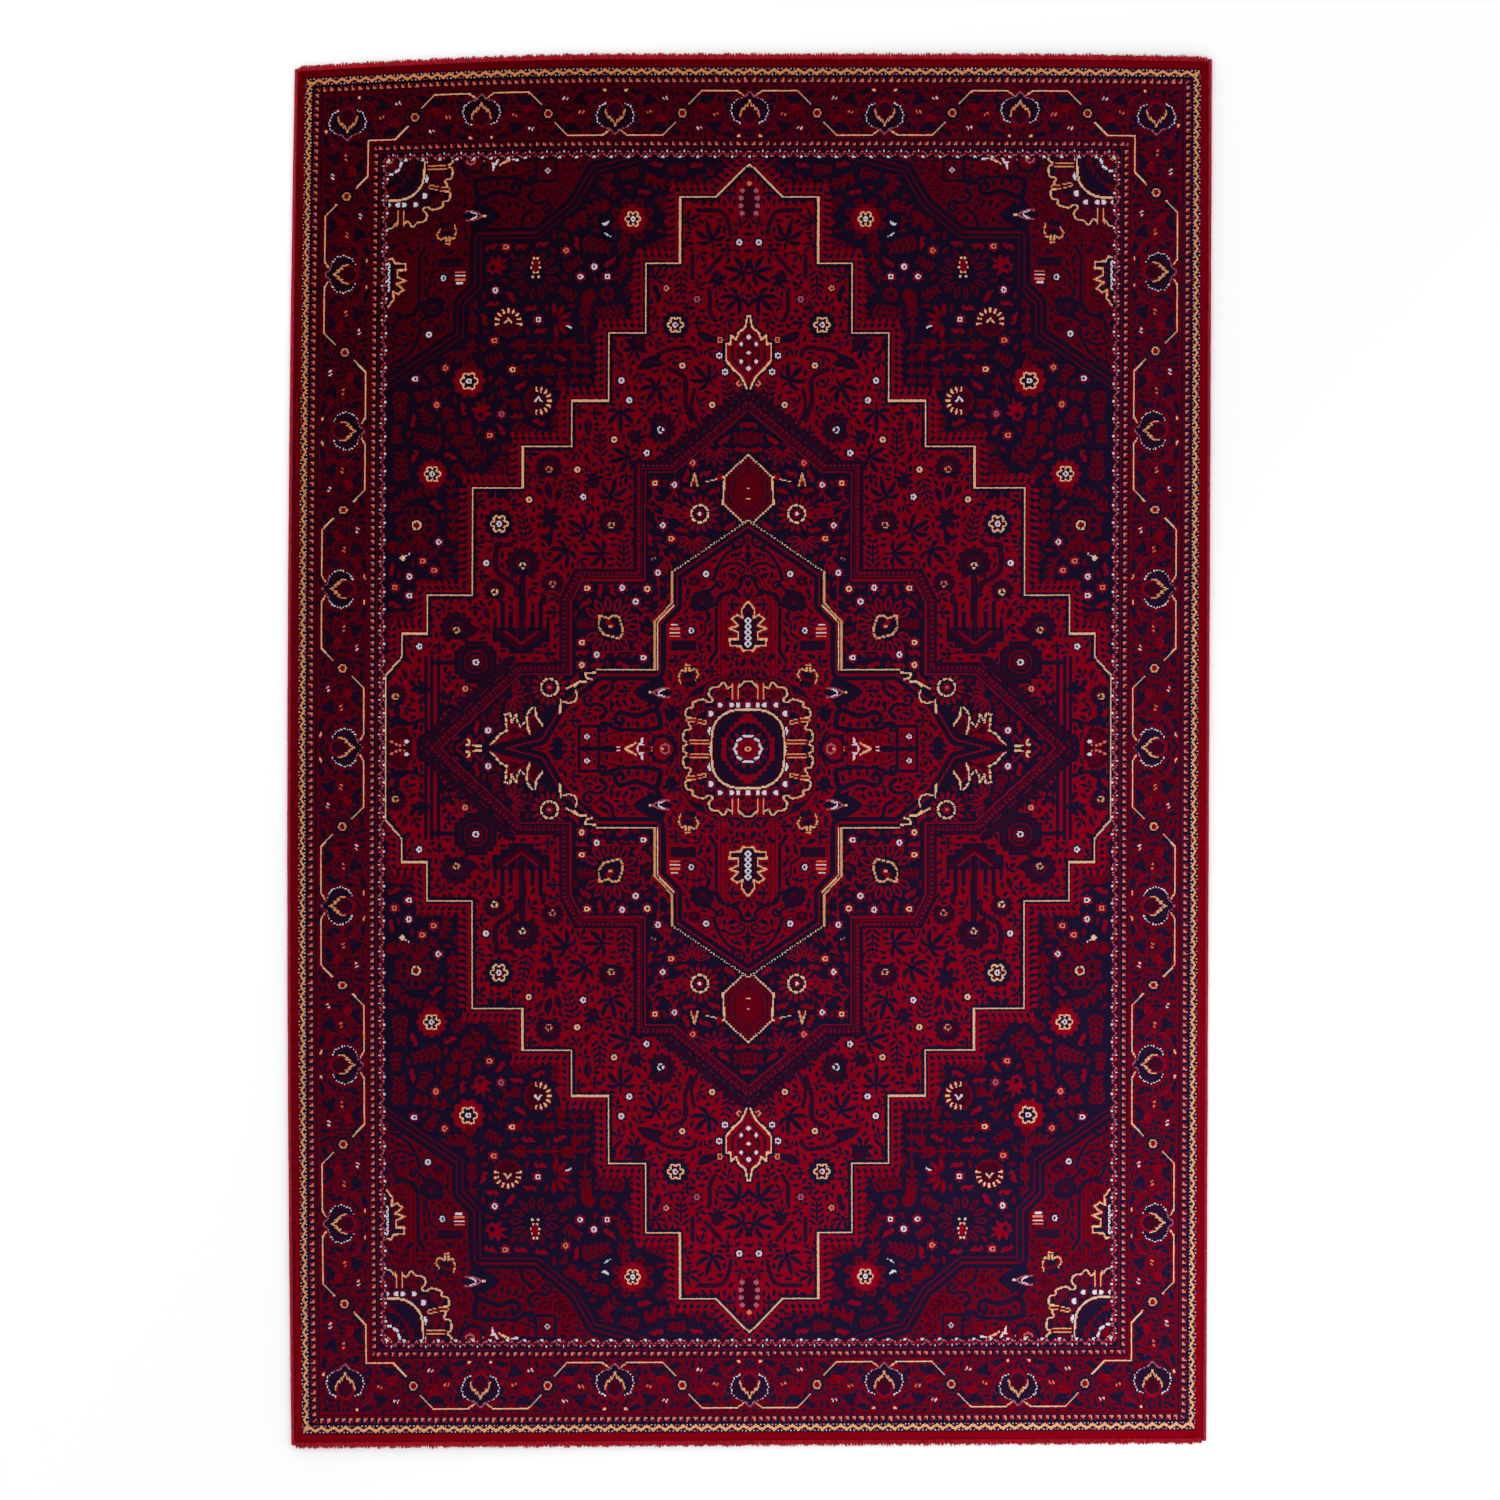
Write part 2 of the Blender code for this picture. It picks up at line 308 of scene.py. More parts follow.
def scrolls(c, *rows):
    """Tapering navy branches that end in a curl, from rows of points, width, radius and turns."""
    for points, width, radius, turns in rows:
        line = curve(points)
        heading, sign = heading_of(line[-1] - line[-2]), 1 if turns > 0 else -1
        middle = turned([(0, sign * radius)], heading, *line[-1])[0]
        end = spiral(*middle, radius, heading - sign * 90, turns)
        c.stroke(np.vstack([line, end]), width, NAVY, taper=0.7)


def palmette(c, x, y, angle, size, body, line, eye, lobes=7):
    """A fan of lobes with two inner lines and an eye."""
    for i in range(lobes):
        tip = at_angle(x, y, size * 0.72, angle + 210 * (i / (lobes - 1) - 0.5))
        c.fill(round_shape(*tip, size * 0.30), body)
    c.fill(round_shape(x, y, size * 0.78), body)
    c.stroke(arc_line(x, y, size * 0.55, angle - 110, angle + 110), 2.4, line)
    c.stroke(arc_line(x, y, size * 0.30, angle - 120, angle + 120), 2.4, line)
    c.fill(round_shape(*at_angle(x, y, -0.05 * size, angle), size * 0.17), eye)


def bloom(c, x, y, petals, ring, eye, size):
    """A small six-petalled flower with a bright ring."""
    c.fill(round_shape(x, y, size * 2.2, 6, 0.42, 30), petals)
    c.rings(x, y, (size, ring), (size * 0.45, eye))


def blooms(c, petals, eye, size, places):
    """Small flowers, listed by the yarn of their ring."""
    for ring, points in places.items():
        for x, y in points:
            bloom(c, x, y, petals, ring, eye, size)


def daisy(c, x, y, size, petals, count):
    """A large round flower with broken cream arcs round a white core."""
    c.fill(round_shape(x, y, size, count, 0.2), petals)
    c.fill(round_shape(x, y, size * 0.55, 6, 0.3), NAVY if petals != NAVY else WINE)
    for angle in range(0, 360, 60):
        a, b = at_angle(x, y, size * 0.36, angle)
        c.stroke(arc_line(a, b, size * 0.15, angle - 110, angle + 110), 2.4, CREAM)
    c.rings(x, y, (size * 0.17, WHITE), (size * 0.08, RED))


def burst(c, x, y, start, end, count, inner, outer, width, line, body):
    """Outlined leaves round a flower, from one angle to another."""
    length = outer - inner
    for angle in start + (end - start) * np.arange(count) / (count - 1):
        c.fill(leaf_shape(*at_angle(x, y, inner, angle), angle, length, width), line)
        c.fill(leaf_shape(*at_angle(x, y, inner + 0.16 * length, angle), angle, 0.68 * length,
                          0.5 * width), body)


def frieze(c, line, teeth, ends, pitch=12.0):
    """A row of leafy teeth along the left of an outline."""
    middle = beside(line, 12)
    c.stroke(middle, 13, teeth)
    c.stroke(beside(line, 5.5), 2.2, teeth)
    steps = np.linalg.norm(np.diff(middle, axis=0), axis=1)
    run = np.concatenate([[0], np.cumsum(steps)])
    for at in np.arange(pitch / 2, run[-1], pitch):
        i = int(np.searchsorted(run, at)) - 1
        way = (middle[i + 1] - middle[i]) / steps[i]
        x, y = middle[i] + way * (at - run[i])
        heading = heading_of(way)
        for start, lean, length, width, yarn in (((-5, -4), 48, 13, 7, ends), ((4, 3), 62, 11, 6, teeth)):
            root = turned([start], heading, x, y)[0]
            c.fill(leaf_shape(*root, heading + lean, length, width), yarn)


# ---- fillers: small plants that grow wherever the ground is bare ----

def plant(*rows):
    """A motif of leaves, its middle at the origin, from rows of x, angle, length, width and bend."""
    return [leaf_shape(x, 0, angle, length, width, bend) for x, angle, length, width, bend in rows]


def fern(length, pairs, leaf_length, leaf_width):
    """A stem with pairs of leaves, its middle at the origin."""
    rows = [(-length / 2, 0, length, 3.4, 0)]
    for i in range(pairs):
        x, size = length * ((i + 0.3) / pairs - 0.5), 1 - 0.45 * i / pairs
        rows += [(x, side * 52, leaf_length * size, leaf_width, side * 1.5) for side in (1, -1)]
    return plant(*rows)


def grown(shapes, size):
    return [turned(shape, 0, size=size) for shape in shapes]


FERN, SMALL_FERN = fern(54, 5, 19, 6), fern(36, 4, 13, 5)
SPRAY = plant((-6, 0, 27, 7, 0), (-6, 44, 24, 6.5, 2), (-6, -44, 24, 6.5, -2), (-6, 88, 19, 6, 3),
              (-6, -88, 19, 6, -3), (-20, 0, 20, 4, 0))
TREFOIL = plant((-5, 0, 18, 7, 0), (-5, 60, 14, 6, 2), (-5, -60, 14, 6, -2), (-14, 0, 12, 3.5, 0))
HOOK = plant((-10, 0, 21, 7.5, 4), (-10, 80, 10, 6, 1))
LEAF, BUD = plant((-7, 0, 15, 6.5, 1.5)), plant((-5, 0, 10, 5, 0))
BLOSSOM = [round_shape(7, 0, 12, 7, 0.28)] + plant(
    (-3, 128, 17, 7, 0), (-3, -128, 17, 7, 0), (-3, 80, 20, 7, -2), (-3, -80, 20, 7, 2), (-24, 0, 22, 4, 0))
BLOSSOM_CORE = [round_shape(7, 0, 6, 6, 0.3)]
ROSETTE, ROSETTE_CORE = [round_shape(0, 0, 14, 8, 0.26)], [round_shape(0, 0, 7, 8, 0.3)]
# Each row is a motif, its margin in knots, and the shapes and yarn of its core.
NAVY_PLANTS = ((grown(SPRAY, 1.4), 1, (), None), (grown(BLOSSOM, 1.3), 1, grown(BLOSSOM_CORE, 1.5), WINE),
               (FERN, 1, (), None), (BLOSSOM, 1, BLOSSOM_CORE, WINE), (SPRAY, 1, (), None),
               (TREFOIL, 1, (), None), (LEAF, 1, (), None))
RED_PLANTS = ((FERN, 3, (), None), (BLOSSOM, 3, BLOSSOM_CORE, NAVY), (SMALL_FERN, 2, (), None),
              (ROSETTE, 2, ROSETTE_CORE, NAVY), (HOOK, 2, (), None), (LEAF, 2, (), None))


def motif_masks(shapes, margin):
    """A motif's knots, and the bare knots that it needs, for each of 24 directions."""
    masks = []
    for angle in range(0, 360, 15):
        patch = Cartoon(64, 64, 32, 32)
        for shape in shapes:
            patch.fill(turned(shape, angle, 32, 32), WHITE)
        motif = patch.yarn == WHITE
        room = motif.copy()
        for _ in range(margin):
            for ahead, behind in ((room[1:], room[:-1]), (room[:, 1:], room[:, :-1])):
                ahead |= behind.copy()
                behind |= ahead.copy()
        masks.append((motif, room))
    return masks


def scatter(c, ground, yarn, within, shapes, margin, turn, seed, core=(), core_yarn=None):
    """A motif wherever the ground is still bare, leaning along slow waves."""
    masks, cores = motif_masks(shapes, margin), motif_masks(core, 0)
    bare = np.pad((c.yarn == ground) & within, 16, mode="symmetric")
    added, centres = np.zeros_like(bare), np.zeros_like(bare)
    rows, columns = np.nonzero(bare[16:-16, 16:-16])
    order = np.random.default_rng(seed).permutation(rows.size)
    for row, column in zip(rows[order].tolist(), columns[order].tolist()):
        if not bare[row + 16, column + 16]:
            continue
        window = (slice(row, row + 32), slice(column, column + 32))
        lean = 70 * math.sin(column / 21 + 1.3) + 80 * math.cos(row / 18) + turn
        for tilt in (0, 3, -3, 6):
            way = int(lean / 15 + tilt) % 24
            motif, room = masks[way]
            if bare[window][room].all():
                added[window] |= motif
                centres[window] |= cores[way][0]
                bare[window] &= ~room
                break
    c.yarn[added[16:-16, 16:-16] & within] = yarn
    if core:
        c.yarn[centres[16:-16, 16:-16] & within] = core_yarn


def fill_ground(c, ground, yarns, within, seed, kinds, spare=0):
    """Plants of every size on the bare ground, the largest first. spare widens the gaps."""
    for i, (shapes, margin, core, core_yarn) in enumerate(kinds):
        scatter(c, ground, yarns[i % len(yarns)], within, shapes, margin + spare, 40 * i, seed + i,
                core, core_yarn)


# ---- the border bands: each runs along x from the rug's centre line, and inwards along y ----

def gold_guard(c, length, width, period):
    """A gold zigzag between navy lines, with pale flecks in its notches."""
    c.stroke(zigzag(length, period, width * 0.28, width * 0.72), width * 0.27, GOLD)
    for i, (x, y) in enumerate(zigzag(length, period, width * 0.86, width * 0.16)[:-1]):
        for shift, yarn in ((-3, WHITE), (1, NAVY), (3, CREAM)):
            c.fill(block(x + shift - 1, y - 1, x + shift + 1, y + 1), yarn if i % 3 else ROSE)


def tooth_stripe(c, length, width, lines, pitch=12.5):
    """Small salmon ticks with red tails over thin lines."""
    for depth, yarn in lines:
        c.fill(block(0, width * depth - 1, length, width * depth + 1), yarn)
    y = width * 0.32
    for i in range(int(length / pitch) + 1):
        x = (i + 0.5) * pitch
        c.fill([(x - 5, y - 3), (x - 2, y - 3), (x + 3, y + 4), (x - 3, y + 5)], RED)
        c.fill([(x + 3, y - 3), (x + 3.2, y + 3.6), (x - 3, y + 3.6)], SALMON)


def mosaic_guard(c, length, width, pitch=15):
    """A red zigzag on navy with salmon and white flecks."""
    points = zigzag(length, pitch, width * 0.2, width * 0.8)
    c.stroke(points, 3.4, RED)
    c.stroke([(x + 2, y) for x, y in points], 2.2, ROSE, dash=(2.2, 3.4))
    for i, (x, y) in enumerate(points):
        c.fill(block(x - 1, y - 1, x + 1, y + 1), SALMON)
        notch = width - y
        if i % 4 == 0:
            c.fill([(x - 3, notch + 2), (x + 3, notch + 2), (x, notch - 3)], WHITE)
        elif i % 4 == 3:
            c.fill(block(x - 1, notch - 2, x + 1, notch + 2), WHITE)


def pomegranate(c):
    """The big border flower at the origin, with its tip along +y."""
    bulb = [(0, 36), (4, 33), (7.5, 28), (22, 23), (30, 15.5), (33, 3), (27, -11.5), (15, -18)]
    drop = [(0, 21), (5, 13), (13.5, 5.5), (16.5, -4), (13.5, -15.5), (7, -21), (0, -23)]
    flame = [(16.5, -6), (15.5, 3), (11.5, 9), (9.5, 5.5), (7, 14), (4.5, 11), (0, 22)]
    ring, inner = np.array(both_halves(bulb)), np.array(both_halves(drop))
    c.fill(ring * 1.1, WINE)
    c.fill(ring, NAVY)
    for side in (1, -1):
        half = [(side * x, y) for x, y in bulb]
        c.stroke(half[:4], 2.0, ROSE, dash=(4, 1.5))
        c.stroke(half[3:], 2.0, WHITE, dash=(3, 2.4))
        c.stroke(curve([(side * 24, -4), (side * 25, 9), (side * 14, 19)]), 2.2, WINE)
    for share, yarn in ((1, RED), (0.8, NAVY), (0.62, WINE)):
        c.fill(inner * share, yarn)
    for side in (1, -1):
        c.stroke([(side * x, y) for x, y in flame], 2.2, GOLD)


def border_half(c, half, width):
    """Half of one repeat, from a flower whose tip points along +y to the ring flower."""
    out, s = 0.42 * width, half / 117
    leaves(c, NAVY, [(x * s, *rest) for x, *rest in (
        (38, -2, 75, 34, 13, 5), (52, -38, 40, 32, 13, 4), (58, 36, -30, 36, 12, -4),
        (72, 10, 55, 28, 12, 3), (76, -12, -40, 30, 12, -3), (100, 34, -100, 24, 12, 0),
        (22, -42, 12, 30, 11, 3), (98, -42, 95, 26, 12, 0), (16, 44, -18, 28, 9, -3),
        (117, 36, -165, 22, 11, 0), (66, -24, 160, 24, 11, -3), (84, 24, 20, 20, 9, 0))])
    branch = curve([(30 * s, -32), (44 * s, -20), (48 * s, 2), (38 * s, 16)])
    for line, line_width, yarn in (
            (branch, 5, NAVY), (branch, 2.2, RED), (spiral(36 * s, 24, 11, -90, 1.1), 2.6, NAVY),
            (spiral(70 * s, 30, 9, 180, -1.0), 2.6, NAVY),
            (curve([(50 * s, -20), (66 * s, -36), (88 * s, -30), (94 * s, -14)]), 2.6, NAVY),
            (spiral(78 * s, 8, 8, 0, 1.0), 2.6, RED)):
        c.stroke(line, line_width, yarn)
    # the cream vine, the small flowers beside it and the marks opposite the tip
    c.stroke([(7, out * 0.72), (23, out), (half - 35, out), (half - 12.5, out * 0.42)], 2.0, CREAM)
    pair_flower(c, 0.5 * half, -2, BLOOD, SALMON)
    c.stroke(round_shape(0.5 * half, -2, 15), 2.0, NAVY, closed=True)
    pair_flower(c, 0.74 * half, -0.28 * width, BLOOD, WHITE)
    c.fill([(0.13 * half, -out - 2), (0.21 * half, -out - 1), (0.15 * half, -out + 2)], CREAM)


def ring_rosette(c):
    """The round flower between two of the big ones."""
    c.fill(round_shape(0, 0, 22, 10, 0.16), NAVY)
    c.stroke(round_shape(0, 0, 16.5, 10, 0.2), 2.2, BLOOD, closed=True)
    c.fill(round_shape(0, 0, 7.4, 6, 0.1), GOLD)
    c.fill(round_shape(0, 0, 5), RED)


def main_border(c, length, width, repeats, edge, side):
    """Big flowers by turns tip outwards and tip inwards, from the centre line to the corner."""
    step = (length - width / 2) / repeats

    def put(at, along=1, across=1, swap=side):
        if side:
            c.put(edge - width / 2, at, across, along, swap)
        else:
            c.put(at, edge - width / 2, along, across)

    for i in range(repeats):
        tip = -1 if (i + side) % 2 else 1
        for way, at in ((1, i * step), (-1, (i + 1) * step)):
            put(at, way, tip * way)
            border_half(c, step / 2, width)
            put((i + 0.5) * step, swap=False)
            ring_rosette(c)
        for at, turn in ((i * step, tip), ((i + 1) * step, -tip)):
            put(at, 1, turn)
            pomegranate(c)


# ---- the lobed medallion and its centre ----

def eye_dot(c, x, y, width, height):
    """A white dot with a dark outline and a red line round it."""
    for margin, yarn in ((4.5, RED), (2.4, NAVY), (0, WHITE)):
        c.fill(round_shape(x, y, width / 2 + margin, squash=height / width), yarn)


def centre_flower(c):
    """The round flower inside the gold rounded square."""
    square = np.array([(0, 68), (24, 67), (42, 60), (56, 46), (62, 28), (63.5, 0)])
    for share, width, yarn in ((1, 7, NAVY), (1, 3.6, CREAM), (0.9, 2.4, WINE)):
        c.stroke(curve(square * share), width, yarn)
    c.fill([(0, 0), (0, 59), (7, 59), (7, 53), (15, 53), (15, 45), (23, 45), (23, 37), (31, 37), (31, 28),
            (38, 28), (38, 19), (46, 19), (46, 0)], RED)
    for angle in np.radians(np.arange(0, 91, 18)):
        c.fill(round_shape(30 * math.cos(angle), 37 * math.sin(angle), 9), NAVY)
    c.fill(round_shape(0, 0, 30, squash=1.12), NAVY)
    c.fill(round_shape(0, 0, 35, 14, 0.45), RED)
    c.fill(round_shape(0, 0, 27), NAVY)
    c.stroke(round_shape(0, 0, 23.5, 10, 0.1), 4.0, WHITE, dash=(10, 4.6), closed=True)
    c.fill(round_shape(0, 0, 20, 10, 0.12), RED)
    c.stroke(round_shape(0, 0, 12, 10, 0.5), 2.4, BLOOD, closed=True)
    for a, b, yarn in ((8, 5, GOLD), (4, 2, NAVY)):
        c.fill([(a, 0), (0, b), (-a, 0), (0, -b)], yarn)


def spade(c, x, y, angle, size):
    """A leaf cell: a red spade outline with a dark heart in it."""
    points = [(0, 0), (0.4, 0.5), (0.3, 0.95), (0.75, 0.8), (1.25, 0.45), (1.05, 0.22), (1.5, 0)]
    shape = points + [(a, -b) for a, b in points[-2:0:-1]]
    c.stroke(turned(shape, angle, x, y, size), 3.4, RED, closed=True)
    c.fill(turned([(0.55 + 0.45 * (a - 0.55), 0.5 * b) for a, b in shape], angle, x, y, size), BLOOD)


SCALLOPS = [(0, 117), (7, 116), (15, 108), (26, 110), (35, 105), (42, 115), (51, 108), (64, 105), (68, 94),
            (61, 84), (70, 81), (78, 86), (96, 80), (95, 73), (106, 69), (108, 57), (98, 53), (103, 44),
            (99, 35), (110, 31), (112, 16), (104, 10), (112, 4), (112, 0)]


def petal_ring(c):
    """The scalloped ring of petal cells and the white dots round the centre."""
    edge = curve(SCALLOPS, 4)
    for width, yarn in ((24, NAVY), (18, RED), (13, WINE), (8, NAVY)):
        c.stroke(edge, width, yarn)
    c.fill(np.vstack([edge, [(0, 0)]]), NAVY)
    for cell in ((0, 84, 90, 17), (45, 84, 84, 17), (77, 66, 38, 18), (76, 29, 4, 18), (74, 0, 0, 13)):
        spade(c, *cell)
    c.stroke(edge, 2.8, GOLD)
    c.stroke(edge, 2.2, CREAM, dash=(7, 4))
    for line in ([(15.5, 112), (17, 100), (17, 87)], [(27.5, 112), (26.5, 100), (26.5, 87)]):
        c.stroke(line, 2.4, GOLD)
    c.fill(block(18.5, 86, 25.5, 113), RED)
    for line in ([(104, 50), (88, 49), (75, 46)], [(104, 11), (88, 12), (69, 12)]):
        c.stroke(line, 7.8, GOLD)
        c.stroke(line, 4.4, RED)
    c.fill(round_shape(0, 0, 70, squash=1.17), RED)
    for dot in ((0, 76, 8.5, 9), (17.3, 76, 8.5, 9), (28.1, 76, 8.5, 9), (48.1, 76, 8.5, 9),
                (64, 61, 8, 12), (65, 31, 9, 16), (66, 0, 6, 7)):
        eye_dot(c, *dot)
    c.fill([*curve([(0, 72), (26, 70), (46, 62), (60, 47), (65, 28), (66, 0)]), (0, 0)], NAVY)


def gold_bell(c, x, y):
    """A navy bell flower with a gold edge."""
    c.fill(round_shape(x, y - 3, 23, 9, 0.25), NAVY)
    bell = [(14, -15), (17, -3), (12, 8), (5, 5), (5, 17), (-1, 16), (-1, 5), (-11, 10), (-18, 1), (-12, -9)]
    c.fill(turned(bell, 0, x, y), BLOOD)
    c.fill(turned(bell, 0, x, y, 0.6), NAVY)
    c.stroke(turned(bell, 0, x, y), 2.6, GOLD, dash=(9, 1.5))


def comb(c, x, y):
    """Four short bars, pale and salmon by turns."""
    c.fill(block(x - 13, y - 13, x + 13, y + 15), RED)
    for i, (half, yarn) in enumerate(((6, WHITE), (8.5, SALMON), (9.5, WHITE), (8.5, SALMON))):
        c.fill(block(x - half, y + 9 - 6.6 * i, x + half, y + 12 - 6.6 * i), yarn)


def tower(c):
    """The gold stepped lozenge on the long centre line, with a column of white eyes."""
    half = [(0, 256), (11, 242), (10, 227), (19, 232), (28, 225), (16, 214), (32, 209), (17, 202),
            (17, 190), (32, 190), (31, 179), (13, 178), (9, 170), (0, 171)]
    c.stroke(half, 9, RED)
    c.fill(half, NAVY)
    c.stroke([(x * 0.62, 214 + (y - 214) * 0.7) for x, y in half], 2.2, BLOOD)
    c.stroke(half, 2.8, GOLD)
    c.stroke(half, 2.2, CREAM, dash=(5, 5))
    for y in range(182, 223, 10):
        c.stroke(arc_line(0, y, 4, 0, 360), 2.6, WHITE)
        c.rings(0, y, (1.6, NAVY))


def almond(c):
    """The pointed bed on the short centre line, with its pale buds."""
    edge = curve([(284, 2), (257, 16), (227, 28), (179, 28), (166, 23)])
    c.stroke(edge, 6.5, NAVY)
    c.fill([*edge, (160, 0)], RED)
    leaves(c, BLOOD, [(250 - 12 * i, 5 + 3 * (i % 3), 60 + 50 * (i % 2), 14, 6, 0) for i in range(7)])
    c.fill([(234, 1), (225, 4), (217, 1)], WHITE)
    c.stroke([(212, 1), (202, 6), (195, 10)], 3.4, CREAM, dash=(4, 1.5))
    c.stroke([(192, 1), (188, 8), (181, 7)], 3.2, WHITE, dash=(5, 1.2))
    c.stroke([(185, 8), (183, 18)], 3.4, WHITE)
    c.fill([(172, 9), (162, 4), (165, 2), (170, 4)], GOLD)
    for points, width, yarn in (([(173, 27), (172, 8), (160, 1)], 2.8, NAVY),
                                ([(166, 10), (160, 21), (143, 23), (131, 12), (126, 1)], 7, NAVY),
                                ([(160, 1), (152, 10), (141, 12)], 3.2, BLOOD)):
        c.stroke(points, width, yarn)
    c.stroke(arc_line(144, 1, 7, 20, 300), 2.6, ROSE)
    c.fill(block(145, -2, 152, 2), GOLD)


def ringed_bed(c, x, y, ground, size):
    """A small flower: petals, a white ring and a red eye."""
    c.fill(round_shape(x, y, size * 1.75, 8, 0.35, 20), ground)
    c.rings(x, y, (size * 0.78, WHITE), (size * 0.40, RED))


def heart(c):
    """Everything inside the lobed outline round the centre rosette."""
    leaves(c, NAVY, [(128, 98, 0, 72, 40, 0)] + [(141, 98, 24 * i - 60, 46, 11, 2) for i in range(6)])
    c.stroke([(172, 98), (160, 98)], 2.4, CREAM)
    vee = [(137, 105), (148, 105), (158, 102), (165, 98), (158, 93), (147, 89), (137, 90)]
    c.stroke(vee, 4.2, RED)
    c.stroke(vee, 2.2, ROSE)
    c.stroke([(145, 104), (155, 99), (155, 94), (145, 91)], 2.0, WHITE)
    scrolls(c, ([(152, 42), (160, 67), (192, 57), (217, 63)], 11, 13, -0.9),
            ([(152, 37), (179, 33), (221, 33), (246, 44)], 9, 9, -1.1),
            ([(255, 54), (246, 65), (257, 77), (274, 75)], 8, 11, 1.0),
            ([(255, 88), (238, 100), (232, 119), (213, 121)], 8, 13, -1.1),
            ([(137, 29), (129, 16), (124, 1)], 6, 8, 0.5))
    leaves(c, NAVY, [(221, 71, 60, 17, 8, 0), (208, 71, 60, 17, 8, 0), (196, 75, 60, 17, 8, 0)])
    for i in range(5):
        leaves(c, NAVY, [(235 - 15 * i, 36, 75, 13, 8, 0)])
        leaves(c, WINE, [(300 - 10 * i, 120 - 8 * i, 200, 13, 7, 0)])
    almond(c)
    c.stroke(block(293, 39, 259, 1), 5.5, NAVY, closed=True)
    ringed_bed(c, 279, 21, WINE, 5.5)
    leaves(c, NAVY, [(257, 2, 180, 30, 10, 0)])
    # the bell, the comb and the upper arm
    gold_bell(c, 103, 129)
    comb(c, 127, 204)
    ringed_bed(c, 98, 205, NAVY, 6.5)
    ringed_bed(c, 73, 303, NAVY, 6.5)
    c.stroke(round_shape(73, 303, 14), 2.0, WINE, closed=True)
    palmette(c, 79, 254, 90, 22, NAVY, WINE, BLOOD)
    palmette(c, 93, 290, 90, 12, WINE, NAVY, RED, 5)
    c.fill(block(89, 187, 133, 170), NAVY)
    for x in range(136, 99, -9):
        c.stroke([(x, 171), (x, 186)], 2.2, WINE)
    for points, width, yarn in (([(47, 130), (47, 240), (47, 258), (20, 300)], 3.0, WINE),
                                ([(39, 130), (39, 240), (39, 258), (12, 300)], 3.0, WINE),
                                ([(55, 242), (55, 169), (66, 152)], 7, NAVY),
                                ([(66, 230), (74, 219), (74, 200), (87, 190)], 5, NAVY)):
        c.stroke(points, width, yarn)
    scrolls(c, ([(55, 249), (47, 266), (19, 276), (11, 293)], 8, 12, 1.0),
            ([(59, 293), (53, 314), (36, 339), (11, 352)], 7, 10, -1.0),
            ([(45, 314), (28, 322), (11, 318)], 6, 9, 0.9),
            ([(74, 272), (61, 278), (55, 287)], 7, 8, 1.0))
    leaves(c, NAVY, [(x, y, angle, 20, 9, 2) for x, y, angle in (
        (22, 341, 60), (7, 368, 100), (36, 305, 200), (11, 263, 20), (66, 221, 70), (70, 184, 250),
        (32, 152, 30), (15, 142, 120), (120, 158, 160), (89, 236, 40))])
    tower(c)
    for width, yarn in ((38, NAVY), (20, RED), (15, NAVY)):
        c.stroke(lobed, width, yarn)


def lobed_frame(c):
    """The double line outside the lobed medallion."""
    c.stroke(lobed, 5.0, NAVY)
    c.stroke(lobed[:2], 2.4, CREAM, dash=(3, 2.4))
    c.stroke(lobed[1:6], 2.8, GOLD)
    c.stroke(beside(lobed[2:5], -5.0), 2.2, CREAM)
    c.stroke(lobed[4:6], 2.8, CREAM)
    for points in ([(265, 132), (282, 131), (281, 123), (271, 120)], [(282, 115), (293, 116), (301, 108)],
                   [(281, 116), (293, 116), (305, 109), (314, 104)],
                   [(299, 100), (296, 92), (299, 83), (309, 79), (320, 81)], [(325, 85), (326, 62)]):
        c.stroke(points, 2.6, CREAM)


# ---- the cross medallion ----

def ringed_flower(c, x, y, inner, outer, eye_size, eye):
    """A red flower in a cream ring, with fine leaves round it."""
    burst(c, x, y, 0, 345, 16, inner, outer, 6, RED, RED)
    c.stroke(round_shape(x, y, 15), 3.2, CREAM, dash=(9, 2), closed=True)
    c.fill(round_shape(x, y, eye_size, 6, 0.4), RED)
    c.rings(x, y, (3, eye))


def crown(c):
    """The pale crown on the short centre line."""
    edge = [(451, 1), (429, 25), (418, 31), (421, 59), (412, 60), (410, 45), (402, 59), (400, 47), (395, 38),
            (384, 49), (382, 61), (374, 71)]
    inner = [(x - 4, y * 0.86 - 2) for x, y in edge[:4] + edge[8:]]
    c.fill(inner + [(368, 69), (357, 39), (356, 5), (451, 5)], WINE)
    c.stroke(inner, 3.0, RED)
    for points, width, dash in (
            (edge, 3.2, (8, 2)), ([(369, 71), (367, 55), (357, 42), (356, 23)], 3.2, None),
            ([(383, 49), (382, 35), (378, 26)], 3.2, None),
            ([(360, 23), (336, 37), (335, 55), (326, 62)], 3.2, None),
            ([(439, 6), (424, 3), (423, 9)], 2.8, (7, 2)),
            ([(423, 8), (409, 3), (408, 17), (393, 4), (391, 16), (374, 2)], 3.0, None)):
        c.stroke(points, width, CREAM, dash=dash)
    c.stroke([(447, 5), (415, 19), (394, 25), (374, 9), (371, 5)], 3.2, RED)
    burst(c, 403, 4, 0, 180, 6, 4, 22, 7, RED, WINE)
    c.stroke([(489, 6), (463, 4)], 3.6, CREAM)
    c.stroke([(485, 15), (481, 6), (485, 2)], 3.2, CREAM)
    for points in ([(539, 9), (503, 18)], [(506, 0), (482, 22), (478, 12)], [(486, 0), (462, 22), (458, 12)]):
        c.stroke(points, 3.0, RED)


